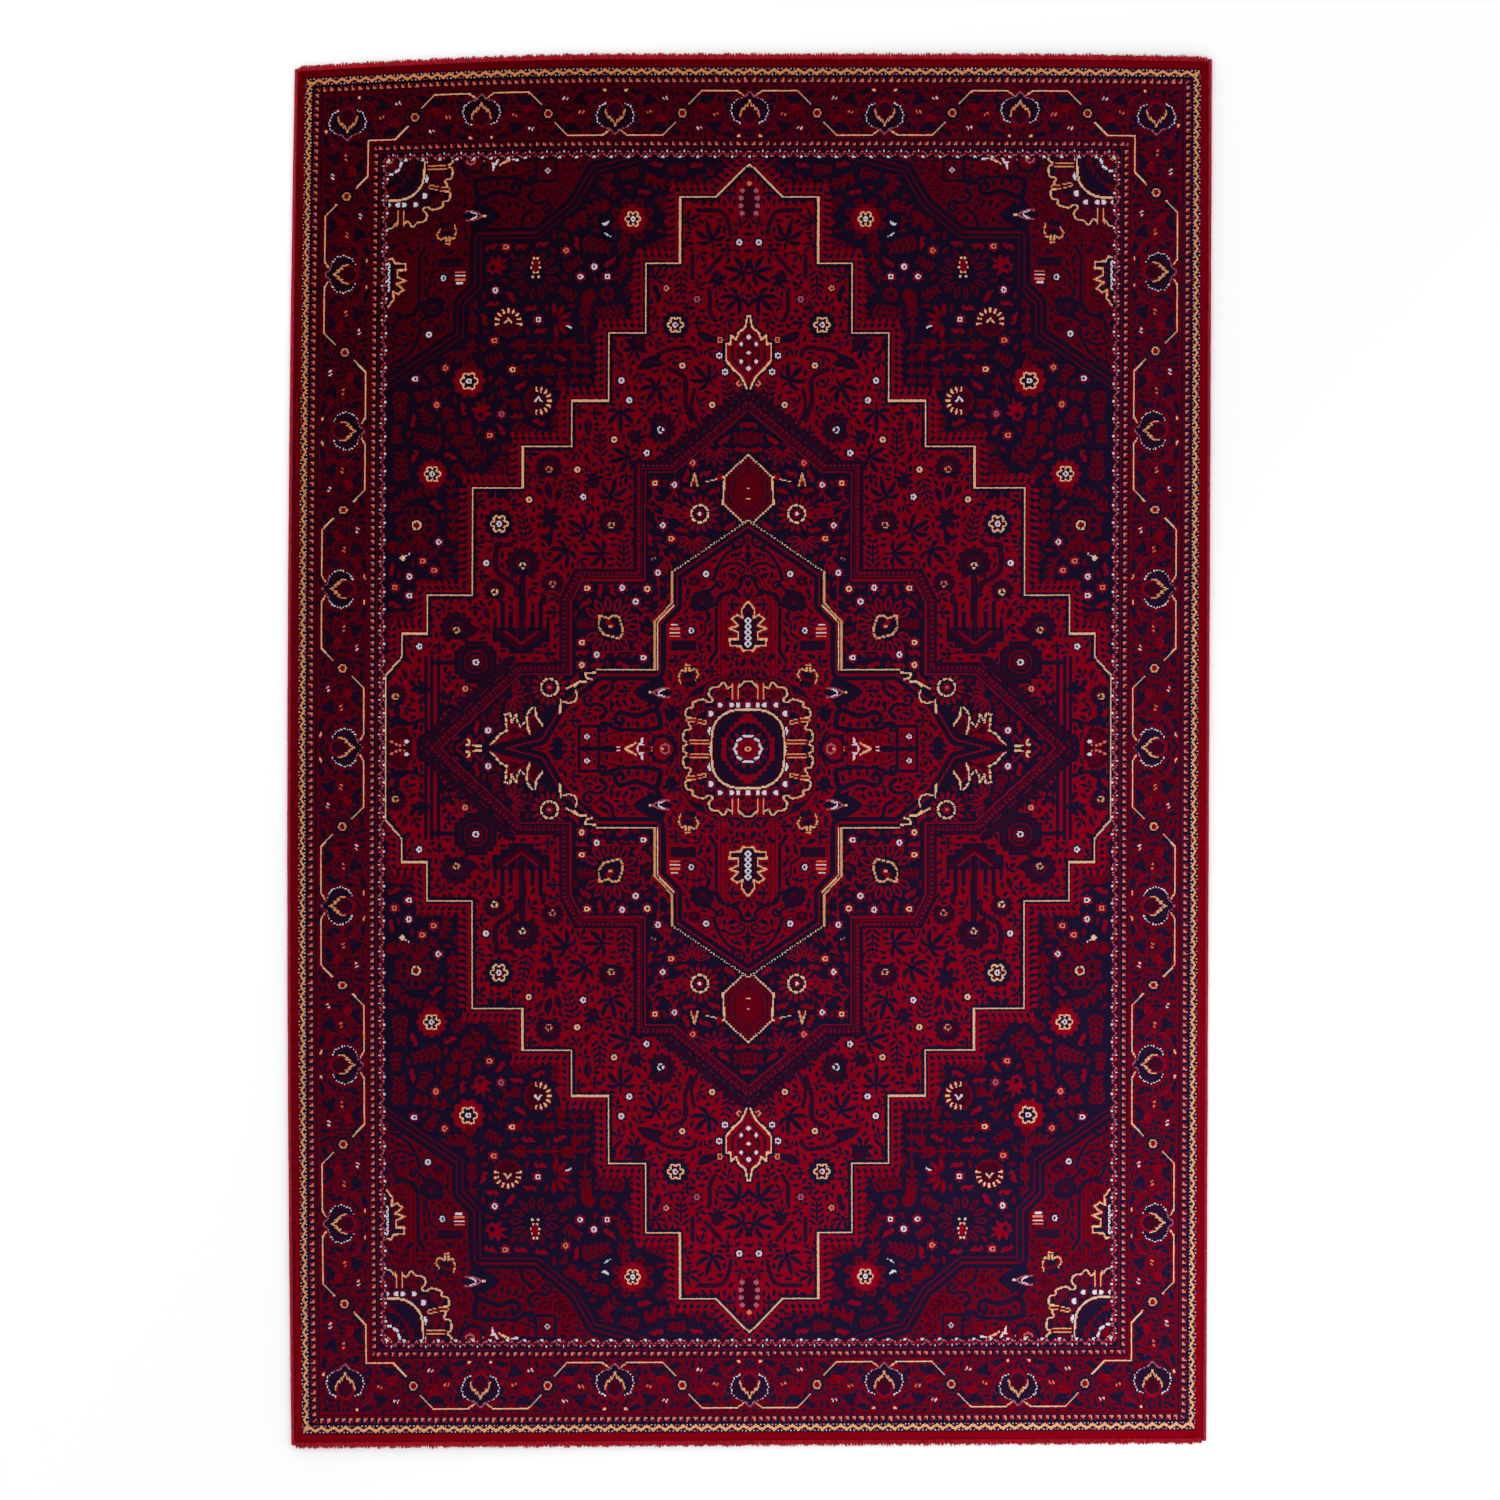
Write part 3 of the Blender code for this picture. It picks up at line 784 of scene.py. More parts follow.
def pendant(c):
    """The red lozenge on the long centre line, between the cross and the lobed medallion."""
    edge = np.array([(0, 509), (41, 471), (44, 424), (0, 385)], float)
    c.fill(edge, BLOOD)
    for share in (0.78, 0.58):
        c.stroke([(x * share, 447 + (y - 447) * share) for x, y in edge], 2.6, NAVY)
    c.stroke(edge, 7, NAVY)
    for side, dash in ((0, (4, 1.5)), (1, None), (2, (4, 1.5))):
        c.stroke(edge[side:side + 2], 3.0, CREAM, dash=dash)
    c.stroke([(44, 470), (58, 466), (76, 462)], 3.0, CREAM, taper=0.3)
    c.fill(round_shape(50, 471, 8, 5, 0.5), RED)
    c.stroke(arc_line(3, 442, 9, 100, 270), 3.0, CREAM)


def cross_plants(c):
    """Red flowers and stems on the navy ground of the cross medallion."""
    for points in ([(192, 232), (189, 200), (192, 169)], [(167, 194), (181, 190), (189, 167)],
                   [(190, 169), (225, 169), (253, 164)], [(156, 356), (146, 333), (146, 316)],
                   [(133, 341), (137, 322), (144, 310)], [(156, 297), (155, 242), (160, 223)],
                   [(188, 244), (175, 232), (160, 223)], [(137, 268), (146, 247), (154, 236)],
                   [(175, 423), (158, 406), (125, 400), (100, 402)], [(146, 427), (137, 410), (116, 408)],
                   [(129, 450), (132, 426), (104, 404)], [(165, 450), (160, 426), (126, 412)]):
        sprig(c, points, RED, 3.0, 5, 15, 5, 45)
    burst(c, 239, 213, 35, 330, 13, 24, 52, 13, RED, NAVY)
    c.fill(round_shape(238, 211, 25), NAVY)
    shield = [(258, 231), (259, 211), (250, 198), (223, 191), (217, 200), (218, 211), (224, 229), (234, 231),
              (242, 226)]
    c.stroke(shield, 3.4, GOLD, dash=(8, 1.5), closed=True)
    c.rings(242, 219, (5, RED))
    c.rings(236, 213, (5, RED))
    c.rings(239, 212, (2.6, GOLD))
    ringed_flower(c, 84, 407, 17, 34, 9, WHITE)
    ringed_flower(c, 344, 106, 18, 33, 8.5, ROSE)
    blooms(c, RED, NAVY, 5.0, {
        CREAM: ((279, 278), (175, 277), (288, 184), (288, 145), (162, 460)),
        WHITE: ((218, 279), (195, 255), (262, 163), (181, 158), (156, 305), (148, 387), (128, 457),
                (450, 31)),
        GOLD: ((133, 364),), SALMON: ((96, 495),), ROSE: ((69, 533),)})
    pair_flower(c, 164, 329, NAVY, ROSE)
    for x, y, angle in ((97, 368, -90), (59, 522, -90), (414, 92, 200)):
        burst(c, x, y, angle - 75, angle + 75, 7, 6, 34, 8, RED, NAVY)
    c.stroke([(99, 456), (93, 477), (88, 456)], 3.0, GOLD)
    c.rings(94, 460, (4, RED))
    crown(c)
    pendant(c)
    # the band inside the edge: rails, small red squares and a thin red line
    for depth, width, yarn in ((10, 20, NAVY), (5.5, 11, WINE), (11, 2.2, BLOOD), (17, 2.6, RED),
                               (5.5, 7.4, NAVY)):
        c.stroke(beside(cross, -depth), width, yarn)
    c.stroke(beside(cross, -5.5), 4.4, RED, dash=(4.2, 3.8))


# ---- the red ground inside the stepped outline ----

def palm(c, x, y, size, angle, eye):
    """A fan of outlined leaves with a bright eye at its root."""
    burst(c, x, y, angle - 140, angle + 140, 11, size * 0.3, size, size * 0.42, NAVY, WINE)
    c.fill(round_shape(x, y, size * 0.62), NAVY)
    c.stroke(arc_line(x, y, size * 0.48, angle - 120, angle + 120), 2.4, WINE)
    c.stroke(arc_line(x, y, size * 0.30, angle - 130, angle + 130), 2.4, BLOOD)
    c.stroke(round_shape(x, y - size * 0.1, 4.6), 2.6, eye, closed=True, dash=(7, 2))


def stepped_flower(c, x, y):
    """A square-edged rosette of nested steps."""
    for half, yarn in ((37, NAVY), (30, WINE), (26, NAVY), (20, BLOOD), (17, NAVY), (12, BLOOD), (9, WINE)):
        for wide, tall in ((1, 0.55), (0.55, 1), (0.8, 0.8)):
            c.fill(block(x - half * wide, y - half * tall, x + half * wide, y + half * tall), yarn)
    c.rings(x, y, (5.5, WHITE), (2.6, NAVY))


def trident(c, x, y):
    """A crown of upright bars on stepped shoulders."""
    for i, half in enumerate((50, 50, 36, 22)):
        c.fill(block(x - half, y - 8 - 10 * i, x + half, y + 8 - 10 * i), NAVY)
    for side in (-1, 1):
        for at, high in ((46, 26), (33, 54), (19, 36)):
            c.fill(block(x + side * at - 3.5, y, x + side * at + 3.5, y + high), NAVY)
        c.stroke([(x + side * 40, y + 2), (x, y - 28)], 8, WINE)
        c.stroke([(x + side * 28, y + 2), (x, y - 20)], 4, RED)
        c.stroke([(x + side * 8, y - 8), (x + side * 8, y + 60)], 3, BLOOD)
    c.fill(block(x - 5, y - 14, x + 5, y + 64), NAVY)
    c.stroke([(x, y - 10), (x, y + 50)], 2.6, WINE)


def lozenge(c):
    """The spiky gold lozenge on the long centre line."""
    half = [(2, 749), (6, 729), (17, 720), (22, 708), (30, 715), (32, 700), (39, 701), (39, 672), (27, 657),
            (14, 645), (8, 635), (3, 621)]
    c.stroke(half, 12, NAVY)
    c.fill(half + [(0, 690)], RED)
    for share, yarn in ((0.78, NAVY), (0.68, RED), (0.5, NAVY), (0.4, BLOOD)):
        c.fill([(x * share, 685 + (y - 685) * share) for x, y in half], yarn)
    for x, y in ((0, 685), (12, 700), (12, 670), (0, 712), (0, 658)):
        c.rings(x, y, (3.2, WHITE))
    c.stroke(half, 3.2, CREAM)


def red_ground_plants(c):
    """Navy plants on the red ground inside the stepped outline."""
    daisy(c, 432, 389, 29, NAVY, 12)
    daisy(c, 127, 733, 27, NAVY, 12)
    leaves(c, NAVY, [(x, y, angle, 22, 12, 0) for x, y, angle in (
        (453, 431, 130), (432, 429, 90), (414, 428, 60), (158, 783, 70), (158, 770, 95))])
    blooms(c, NAVY, RED, 5.2, {
        CREAM: ((379, 431), (233, 535), (115, 663), (63, 595), (296, 483), (380, 431)),
        SALMON: ((143, 796), (50, 707), (490, 103), (16, 632)), ROSE: ((90, 777),),
        WHITE: ((221, 637), (206, 603), (176, 512), (286, 436), (454, 321), (570, 176), (17, 875),
                (51, 680), (41, 652))})
    for x, y, size, angle, eye in ((391, 320, 33, 90, CREAM), (506, 208, 32, 90, GOLD),
                                   (346, 486, 26, 90, SALMON), (237, 390, 27, 90, GOLD),
                                   (611, 91, 21, 90, GOLD), (440, 273, 22, 100, CREAM),
                                   (339, 287, 22, 90, SALMON), (152, 555, 30, 180, WHITE)):
        palm(c, x, y, size, angle, eye)
    stepped_flower(c, 472, 149)
    for points, width in (([(436, 354), (436, 308), (404, 284), (402, 266)], 10),
                          ([(404, 360), (416, 352), (436, 354)], 9),
                          ([(391, 296), (392, 266), (392, 227)], 11),
                          ([(545, 148), (495, 148)], 7), ([(233, 706), (233, 693), (221, 679)], 7),
                          ([(155, 682), (138, 690), (100, 693), (91, 679)], 8),
                          ([(138, 657), (110, 641), (110, 602), (99, 569)], 9),
                          ([(94, 621), (99, 591), (88, 563)], 7), ([(69, 794), (67, 756), (58, 740)], 8),
                          ([(89, 931), (45, 926), (31, 887)], 8), ([(97, 813), (97, 852)], 8),
                          ([(48, 852), (75, 821)], 8)):
        c.stroke(curve(points, 4), width, NAVY)
        c.stroke(curve(points, 4), width * 0.28, WINE)
    for x in (558, 549, 537):
        c.stroke([(x, 12), (x, 158)], 5.5, NAVY)
    leaves(c, NAVY, [(344, 400, angle, 24, 12, 1) for angle in range(0, 301, 60)], WINE)
    trident(c, 393, 201)
    for points in ([(563, 48), (599, 40), (627, 49)], [(599, 44), (611, 60), (611, 75)],
                   [(555, 102), (581, 108)], [(535, 60), (519, 76), (517, 92)],
                   [(344, 398), (340, 370), (352, 362)]):
        sprig(c, points, NAVY, 8, 4, 20, 10, 40)
    leaves(c, NAVY, [(x, y, angle, length, length * 0.42, 2) for x, y, angle, length in (
        (520, 248, 110, 18), (502, 250, 90, 18), (480, 248, 50, 18), (464, 210, -40, 28),
        (456, 246, 250, 26), (354, 247, 80, 26), (583, 145, 30, 24), (613, 123, 60, 22),
        (593, 117, 70, 22), (573, 76, 130, 24), (529, 104, 260, 24), (91, 720, 200, 40),
        (194, 657, 150, 50), (183, 673, 190, 40), (277, 574, 270, 34), (282, 514, 250, 22),
        (251, 489, 60, 18), (415, 425, 70, 22), (323, 453, 290, 30), (348, 464, 260, 34),
        (368, 458, 240, 26))], WINE)
    lozenge(c)
    palmette(c, 601, 10, 0, 26, WINE, BLOOD, RED, 9)
    c.stroke([(619, 11), (605, 4), (596, 5)], 3.4, SALMON, dash=(5, 2.5))
    c.rings(592, 11, (4, WHITE))
    # the drop at the point of the long centre line
    c.fill(round_shape(0, 945, 20, squash=1.5), WINE)
    for y in (925, 938, 951, 964):
        c.rings(16 - abs(y - 944) * 0.2, y, (4.2, ROSE))
    c.rings(0, 976, (4, SALMON))


# ---- the navy field outside the stepped outline ----

def studded_flower(c, x, y):
    """A lobed navy flower with small flowers on its lobes."""
    c.fill(round_shape(x, y, 40, 8, 0.2, 20, 0.85), BLOOD)
    c.fill(round_shape(x, y, 36, 8, 0.2, 20, 0.85), NAVY)
    for angle in (20, 90, 160, 200, 340):
        c.rings(*at_angle(x, y, 22, angle), (10, BLOOD), (6, NAVY))
    c.rings(x, y, (17, BLOOD), (13, NAVY))
    c.stroke(round_shape(x, y, 7), 3, CREAM, closed=True, dash=(6, 2))
    c.rings(x, y, (4.5, RED))


def half_sun(c, x, y, turn, eye):
    """A half sun with a fringe of bright strokes."""
    c.fill(round_shape(x, y, 27, 12, 0.15), BLOOD)
    c.fill(round_shape(x, y, 21), WINE)
    for i in range(9):
        c.stroke(turned([(17, 0), (23, 0)], turn - 100 + 25 * i, x, y), 3.0, CREAM)
    for half, tip, yarn in ((9, 8, eye), (5, 4, NAVY)):
        c.fill([(x - half, y - 3), (x, y + tip), (x + half, y - 3)], yarn)


def navy_field_plants(c):
    """Red plants on the navy field outside the stepped outline."""
    blooms(c, RED, NAVY, 4.8, {
        WHITE: ((537, 357), (588, 297), (588, 264), (441, 793), (580, 640), (366, 742), (269, 833),
                (293, 816), (246, 816)),
        SALMON: ((565, 324), (545, 308), (613, 278), (442, 706), (527, 659), (542, 595), (449, 542),
                 (423, 868), (318, 861)), CREAM: ((410, 656),), ROSE: ((429, 579),)})
    studded_flower(c, 576, 386)
    daisy(c, 486, 636, 30, RED, 10)
    daisy(c, 549, 475, 27, RED, 12)
    daisy(c, 202, 915, 26, RED, 8)
    for angle in range(22, 360, 45):
        c.rings(*at_angle(202, 915, 30, angle), (8, BLOOD), (3.5, NAVY))
    half_sun(c, 418, 738, 90, CREAM)
    half_sun(c, 365, 602, 180, WHITE)
    # a pineapple of cream flecks with long leaves
    burst(c, 372, 819, 0, 360, 14, 20, 44, 10, BLOOD, NAVY)
    for i in range(5):
        for side in (-1, 1):
            c.rings(371 + side * (3 + 2 * (i % 3)), 848 - 8 * i, (2.8, CREAM))
    c.fill(round_shape(371, 834, 6, squash=1.8), RED)
    c.fill([(259, 906), (242, 912), (249, 904)], WHITE)
    c.fill([(252, 892), (238, 884), (247, 886)], WHITE)
    c.stroke([(322, 735), (309, 728)], 3.2, WHITE)
    c.rings(600, 329, (4.5, CREAM))
    c.stroke([(599, 330), (587, 337)], 2.4, WHITE, dash=(3, 2))
    for count, points in ((10, [(484, 796), (481, 729), (483, 657)]),
                          (12, [(273, 794), (283, 756), (282, 629)]),
                          (12, [(416, 698), (333, 698), (302, 695), (302, 635)]),
                          (9, [(402, 654), (330, 654), (327, 624)]),
                          (5, [(486, 682), (511, 679), (534, 688)]),
                          (5, [(519, 619), (555, 613), (575, 608)]),
                          (9, [(525, 591), (510, 541), (474, 491)]),
                          (7, [(457, 497), (485, 536), (491, 563)]),
                          (9, [(574, 371), (568, 353), (528, 322), (522, 294)]),
                          (6, [(628, 353), (604, 345), (574, 347)]),
                          (7, [(622, 409), (590, 439), (544, 445)]),
                          (8, [(512, 354), (512, 405), (518, 461)]),
                          (9, [(176, 994), (162, 978), (101, 978), (40, 1016)]),
                          (6, [(312, 950), (312, 912), (267, 912)]),
                          (8, [(239, 939), (278, 931), (322, 885)]),
                          (6, [(220, 884), (214, 843), (228, 813)]),
                          (5, [(433, 646), (422, 602), (399, 596)]),
                          (6, [(240, 1002), (251, 978), (234, 958)])):
        sprig(c, points, BLOOD, 3.2, count, 17, 6, 42, pairs=True)
    burst(c, 338, 740, 90, 260, 6, 6, 34, 9, BLOOD, RED)
    burst(c, 607, 236, 200, 330, 5, 0, 60, 12, BLOOD, NAVY)
    burst(c, 619, 176, 70, 160, 5, 0, 40, 10, BLOOD, NAVY)


# ---- the whole quarter ----

def paint_field(c, zone):
    """The field, from its corners in to the centre rosette."""
    within = {name: zone == ZONES.index(name) for name in ZONES}
    ground, heart_zone = within["medallion_ground"], within["lobed_medallion"]
    outside = within["field_corner"] | within["corner_rosette"]
    c.put()
    c.clip = outside
    navy_field_plants(c)
    # the field corners hold a quarter of the lobed medallion again
    c.put(*field, -1, -1)
    corner = np.vstack([lobed, [(0, 0)]])
    rows, columns, mask = c.inside(c.on_rug(corner))
    spandrel = within["corner_rosette"].copy()
    spandrel[rows, columns] |= mask
    spandrel &= outside
    c.fill(corner, RED)
    c.stroke(lobed, 18, NAVY)
    c.stroke(lobed, 3.6, BLOOD)
    c.clip = spandrel
    heart(c)
    petal_ring(c)
    centre_flower(c)
    c.put()
    fill_ground(c, RED, (NAVY, NAVY, WINE), spandrel, 50, NAVY_PLANTS)
    scatter(c, RED, NAVY, spandrel, BUD, 1, 0, 58)
    c.yarn[spandrel & (c.yarn == RED)] = BLOOD
    fill_ground(c, NAVY, (BLOOD, RED, BLOOD), outside & ~spandrel, 10, RED_PLANTS, 1)
    c.clip = outside
    frieze(c, stepped, RED, NAVY)
    c.clip = ground
    red_ground_plants(c)
    fill_ground(c, RED, (NAVY,), ground, 20, NAVY_PLANTS)
    c.stroke(cross, 7, NAVY)
    frieze(c, cross[:2], NAVY, WINE)
    frieze(c, cross[-2:], NAVY, WINE)
    c.stroke(stepped, 13, NAVY)
    c.clip = ground | outside
    c.stroke(stepped, 2.8, CREAM)
    c.clip = within["cross_medallion"]
    cross_plants(c)
    fill_ground(c, NAVY, (BLOOD, RED, BLOOD), c.clip, 30, RED_PLANTS)
    c.clip = heart_zone
    heart(c)
    for i, (shapes, yarn) in enumerate(((BLOSSOM, NAVY), (SPRAY, NAVY), (TREFOIL, NAVY), (HOOK, NAVY),
                                        (LEAF, NAVY), (BUD, WINE))):
        scatter(c, RED, yarn, heart_zone, shapes, 1, 30 * i, 61 + i)
    c.clip = within["cross_medallion"] | heart_zone
    lobed_frame(c)
    c.clip = heart_zone | within["centre_rosette"]
    petal_ring(c)
    centre_flower(c)
    c.put()


def paint_bands(c, sizes, zone, in_side):
    for i, name in enumerate(BANDS[1:], 1):
        (ox, oy), (ix, iy) = sizes[i], sizes[i + 1]
        for side in (False, True):
            c.clip = (zone == i) & (in_side == side)
            length, width = (oy, ox - ix) if side else (ox, oy - iy)
            if side:
                c.put(ox, 0, -1, 1, swap=True)
            else:
                c.put(0, oy, 1, -1)
            if name == "gold_guard":
                gold_guard(c, length, width, 18 if side else 21)
            elif name == "outer_tooth_stripe":
                tooth_stripe(c, length, width, ((0.72, BLOOD), (0.93, WINE)))
            elif name == "inner_tooth_stripe":
                tooth_stripe(c, length, width, ((0.08, WINE), (0.80, BLOOD)))
            elif name == "mosaic_guard":
                mosaic_guard(c, length, width)
            else:
                main_border(c, length, width, 4 if side else 3, ox if side else oy, side)
                corner = ((ox + ix) / 2, (oy + iy) / 2)
    main = zone == BANDS.index("main_border")
    for i, shapes in enumerate((SPRAY, TREFOIL, HOOK, LEAF, BUD)):
        scatter(c, BLOOD, NAVY, main, shapes, 1, 0, 39 + i)
    c.clip = main
    c.put(*corner, 1, -1)
    pomegranate(c)


def paint_rug():
    """Paints a quarter of the rug. Gives its yarns, its zones and which knots are in a side band."""
    c = Cartoon(*bands["plain_edge"], *KNOTS)
    x, y = c.x[None, :], c.y[:, None]
    zone, in_side = np.zeros_like(c.yarn), np.zeros_like(c.yarn, bool)
    sizes = [bands[name] for name in BANDS] + [field]
    grounds = (CRIMSON, NAVY, NAVY, BLOOD, NAVY, NAVY)
    for i, ((ox, oy), (ix, iy)) in enumerate(zip(sizes, sizes[1:])):
        inside = (x < ix) & (y < iy)
        here = ~inside & (x < ox) & (y < oy)
        zone[here] = i
        c.yarn[here] = grounds[i]
        in_side |= here & ((ox - x) / (ox - ix) < (oy - y) / (oy - iy))
        zone[inside] = i + 1
    for name, outline in outlines.items():
        rows, columns, mask = c.inside(np.vstack([outline, [(-9, -9)]]))
        zone[rows, columns][mask] = ZONES.index(name)
    near_corner = np.hypot(field[0] - x, field[1] - y) < CORNER_ROSETTE_RADIUS
    zone[near_corner & (x < field[0]) & (y < field[1])] = ZONES.index("corner_rosette")
    for name in ("medallion_ground", "lobed_medallion"):
        c.yarn[zone == ZONES.index(name)] = RED
    paint_bands(c, sizes, zone, in_side)
    paint_field(c, zone)
    return c.yarn, zone, in_side


# ---------------------------------------------------------------------------------------------
# Meshes. Every piece is built flat in millimetres, then laid with warp().
# ---------------------------------------------------------------------------------------------

def new_piece(name, points, faces, material):
    """A mesh object from points in millimetres, and faces as a list or an array of quads."""
    points = np.array(points, float)
    points[:, 0], points[:, 1] = warp(points[:, 0], points[:, 1])
    if isinstance(faces, np.ndarray):
        sizes, corners = np.full(len(faces), 4), faces.ravel()
    else:
        sizes, corners = [len(face) for face in faces], np.concatenate(faces)
    mesh = bpy.data.meshes.new(name)
    mesh.vertices.add(len(points))
    mesh.vertices.foreach_set("co", (points / MM).ravel())
    mesh.loops.add(len(corners))
    mesh.loops.foreach_set("vertex_index", corners.astype(np.int32))
    mesh.polygons.add(len(sizes))
    starts = np.concatenate([[0], np.cumsum(sizes)[:-1]])
    mesh.polygons.foreach_set("loop_start", starts.astype(np.int32))
    mesh.polygons.foreach_set("use_smooth", np.ones(len(sizes), bool))
    mesh.update(calc_edges=True)
    mesh.materials.append(material)
    piece = bpy.data.objects.new(name, mesh)
    bpy.context.collection.objects.link(piece)
    return piece


def belongs(piece, material_slot, *nodes):
    """The piece stands for these CAD nodes and rides with the rug."""
    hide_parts(*nodes)
    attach(piece, "root")
    return piece


def grid_faces(rows, columns, wrap=False):
    """Quads of a grid of points. wrap joins its last column to its first."""
    row = np.arange(rows - 1)[:, None]
    column = np.arange(columns if wrap else columns - 1)[None, :]
    after = (column + 1) % columns
    quads = np.stack([row * columns + column, row * columns + after,
                      (row + 1) * columns + after, (row + 1) * columns + column], -1)
    return quads.reshape(-1, 4)


def rod_faces(rings, sides):
    """The faces of a closed rod: quads between its rings, and a cap at each end."""
    last = (rings - 1) * sides
    return [*grid_faces(rings, sides, wrap=True).tolist(), list(range(sides))[::-1],
            list(range(last, last + sides))]


def slab(name, xs, ys, low, high, material):
    """A closed sheet between two height fields, given as functions of x and y."""
    x, y = np.meshgrid(xs, ys)
    rows, columns = x.shape
    top = np.stack([x, y, high(x, y)], -1).reshape(-1, 3)
    bottom = np.stack([x, y, low(x, y)], -1).reshape(-1, 3)
    count = rows * columns
    quads = grid_faces(rows, columns)
    rim = np.concatenate([np.arange(columns), np.arange(1, rows) * columns + columns - 1,
                          count - 2 - np.arange(columns - 1),
                          np.arange(rows - 2, 0, -1) * columns])
    after = np.roll(rim, -1)
    walls = np.stack([rim + count, after + count, after, rim], 1)
    faces = np.vstack([quads, quads[:, ::-1] + count, walls])
    return new_piece(name, np.vstack([top, bottom]), faces, material)


# ---------------------------------------------------------------------------------------------
# The pile
# ---------------------------------------------------------------------------------------------

def mirrored(quarter):
    """The whole rug from its far right quarter. Row 0 is at the near end, column 0 at the left."""
    half = np.concatenate([quarter[::-1], quarter])
    return np.concatenate([half[:, ::-1], half], 1)


yarn, zone, in_side = map(mirrored, paint_rug())
rows, columns = yarn.shape
rng = np.random.default_rng(7)


def slow_waves(x, y):
    """The gentle rise and fall of a rug that isn't quite flat."""
    return (np.sin(x / 170 + 0.8) * np.cos(y / 230) + 0.5 * np.sin((x + y) / 90)
            + 0.4 * np.cos((x - 1.4 * y) / 63))


knot_x = np.linspace(-bands["plain_edge"][0], bands["plain_edge"][0], columns + 1)
knot_y = np.linspace(-bands["plain_edge"][1], bands["plain_edge"][1], rows + 1)
corner_x, corner_y = np.meshgrid(knot_x, knot_y)
corner_z = pile_high + 0.25 * slow_waves(corner_x, corner_y) - 0.35
corner_z += rng.uniform(-0.3, 0.3, corner_z.shape)
inner = (slice(1, -1), slice(1, -1))
corner_x[inner] += rng.uniform(-0.4, 0.4, corner_x[inner].shape)
corner_y[inner] += rng.uniform(-0.4, 0.4, corner_y[inner].shape)


def bake_map(piece, column, row, wall_count):
    """A flat map that fills the square. A long strip is folded into rows, and the walls get a
    narrow band of their own at the top."""
    left, low = column.min(), row.min()
    wide, tall = column.max() + 1 - left, row.max() + 1 - low
    along, across, length, breadth = column - left, row - low, wide, tall
    if tall > wide:
        along, across, length, breadth = across, along, tall, wide
    folds = max(1, round(math.sqrt(length / breadth)))
    fold = along * folds // length
    corners = np.array([(0, 0), (1, 0), (1, 1), (0, 1)])
    if tall > wide:
        corners = corners[:, ::-1]
    u = (along[:, None] + corners[:, 0]) * folds / length - fold[:, None]
    v = (fold[:, None] + 0.98 * (across[:, None] + corners[:, 1]) / breadth) / folds
    tops = np.stack([u, 0.96 * v], -1).reshape(-1, 2)
    place = np.arange(wall_count)[:, None]
    walls = np.stack([(place + [0, 1, 1, 0]) / wall_count,
                      np.broadcast_to([0.97, 0.97, 1, 1], (wall_count, 4))], -1).reshape(-1, 2)
    layer = piece.data.uv_layers.new(name="OFBake")
    layer.data.foreach_set("uv", np.vstack([tops, walls]).ravel().astype(np.float32))


RAMP_STEPS = 10  # the yarns' colours are equal steps of a colour ramp


def pile_piece(name, cells, material_slot):
    """One zone of the pile: a quad for each knot and a wall down to the weave. It is open below,
    where it stands on the weave."""
    row, column = np.nonzero(cells)
    wide = columns + 1
    here = row * wide + column
    tops = np.stack([here, here + 1, here + wide + 1, here + wide], 1)
    filled = np.pad(cells, 1)
    walls = []
    for step_row, step_column, a, b in ((-1, 0, 0, 1), (0, 1, 1, 2), (1, 0, 2, 3), (0, -1, 3, 0)):
        edge = ~filled[row + 1 + step_row, column + 1 + step_column]
        walls.append(np.stack([tops[edge, a], tops[edge, b]], 1))
    walls = np.vstack(walls)
    used, place = np.unique(tops, return_inverse=True)
    tops = place.reshape(-1, 4)
    walls = np.searchsorted(used, walls)
    points = np.stack([corner_x.ravel()[used], corner_y.ravel()[used], corner_z.ravel()[used]], 1)
    foot, foot_place = np.unique(walls, return_inverse=True)
    foot_place = foot_place.reshape(-1, 2) + len(points)
    floor = points[foot].copy()
    floor[:, 2] = pile_low
    walls = np.stack([foot_place[:, 0], foot_place[:, 1], walls[:, 1], walls[:, 0]], 1)
    faces = np.vstack([tops, walls])
    piece = new_piece(name + "_pile", np.vstack([points, floor]), faces, pile_slots[material_slot])
    # Every wall takes the dark wine yarn, whatever its knot: painted shade on the sides of the pile
    colour = np.full(len(faces), float(WINE))
    colour[:len(tops)] = yarn[row, column]
    attribute = piece.data.attributes.new("yarn", "FLOAT", "FACE")
    middle_of_step = (colour + 0.5) / RAMP_STEPS
    attribute.data.foreach_set("value", middle_of_step.astype(np.float32))
    bake_map(piece, column, row, len(walls))
    return belongs(piece, material_slot, name)


# ---------------------------------------------------------------------------------------------
# Materials
# ---------------------------------------------------------------------------------------------

def linear(red, green, blue):
    """A screen colour, each channel from 0 to 255, as the light it stands for."""
    share = np.array([red, green, blue]) / 255
    value = np.where(share <= 0.04045, share / 12.92, ((share + 0.055) / 1.055) ** 2.4)
    return (*(float(v) for v in value), 1.0)


# Each yarn's colour in painted shade, as at the far left of the rug, and in painted light, as at the near
# right.
YARN_COLOURS_IN_PAINTED_SHADE_AND_LIGHT = {NAVY: ((14, 5, 17), (26, 17, 44)), WINE: ((38, 2, 13), (60, 6, 28)),
                BLOOD: ((60, 0, 7), (102, 2, 20)), RED: ((86, 0, 9), (132, 2, 24)),
                GOLD: ((180, 112, 64), (212, 152, 106)), CREAM: ((198, 146, 104), (216, 172, 136)),
                WHITE: ((176, 172, 184), (200, 196, 206)), SALMON: ((180, 84, 58), (206, 114, 90)),
                ROSE: ((132, 64, 80), (158, 86, 106)), CRIMSON: ((76, 0, 7), (120, 0, 16))}


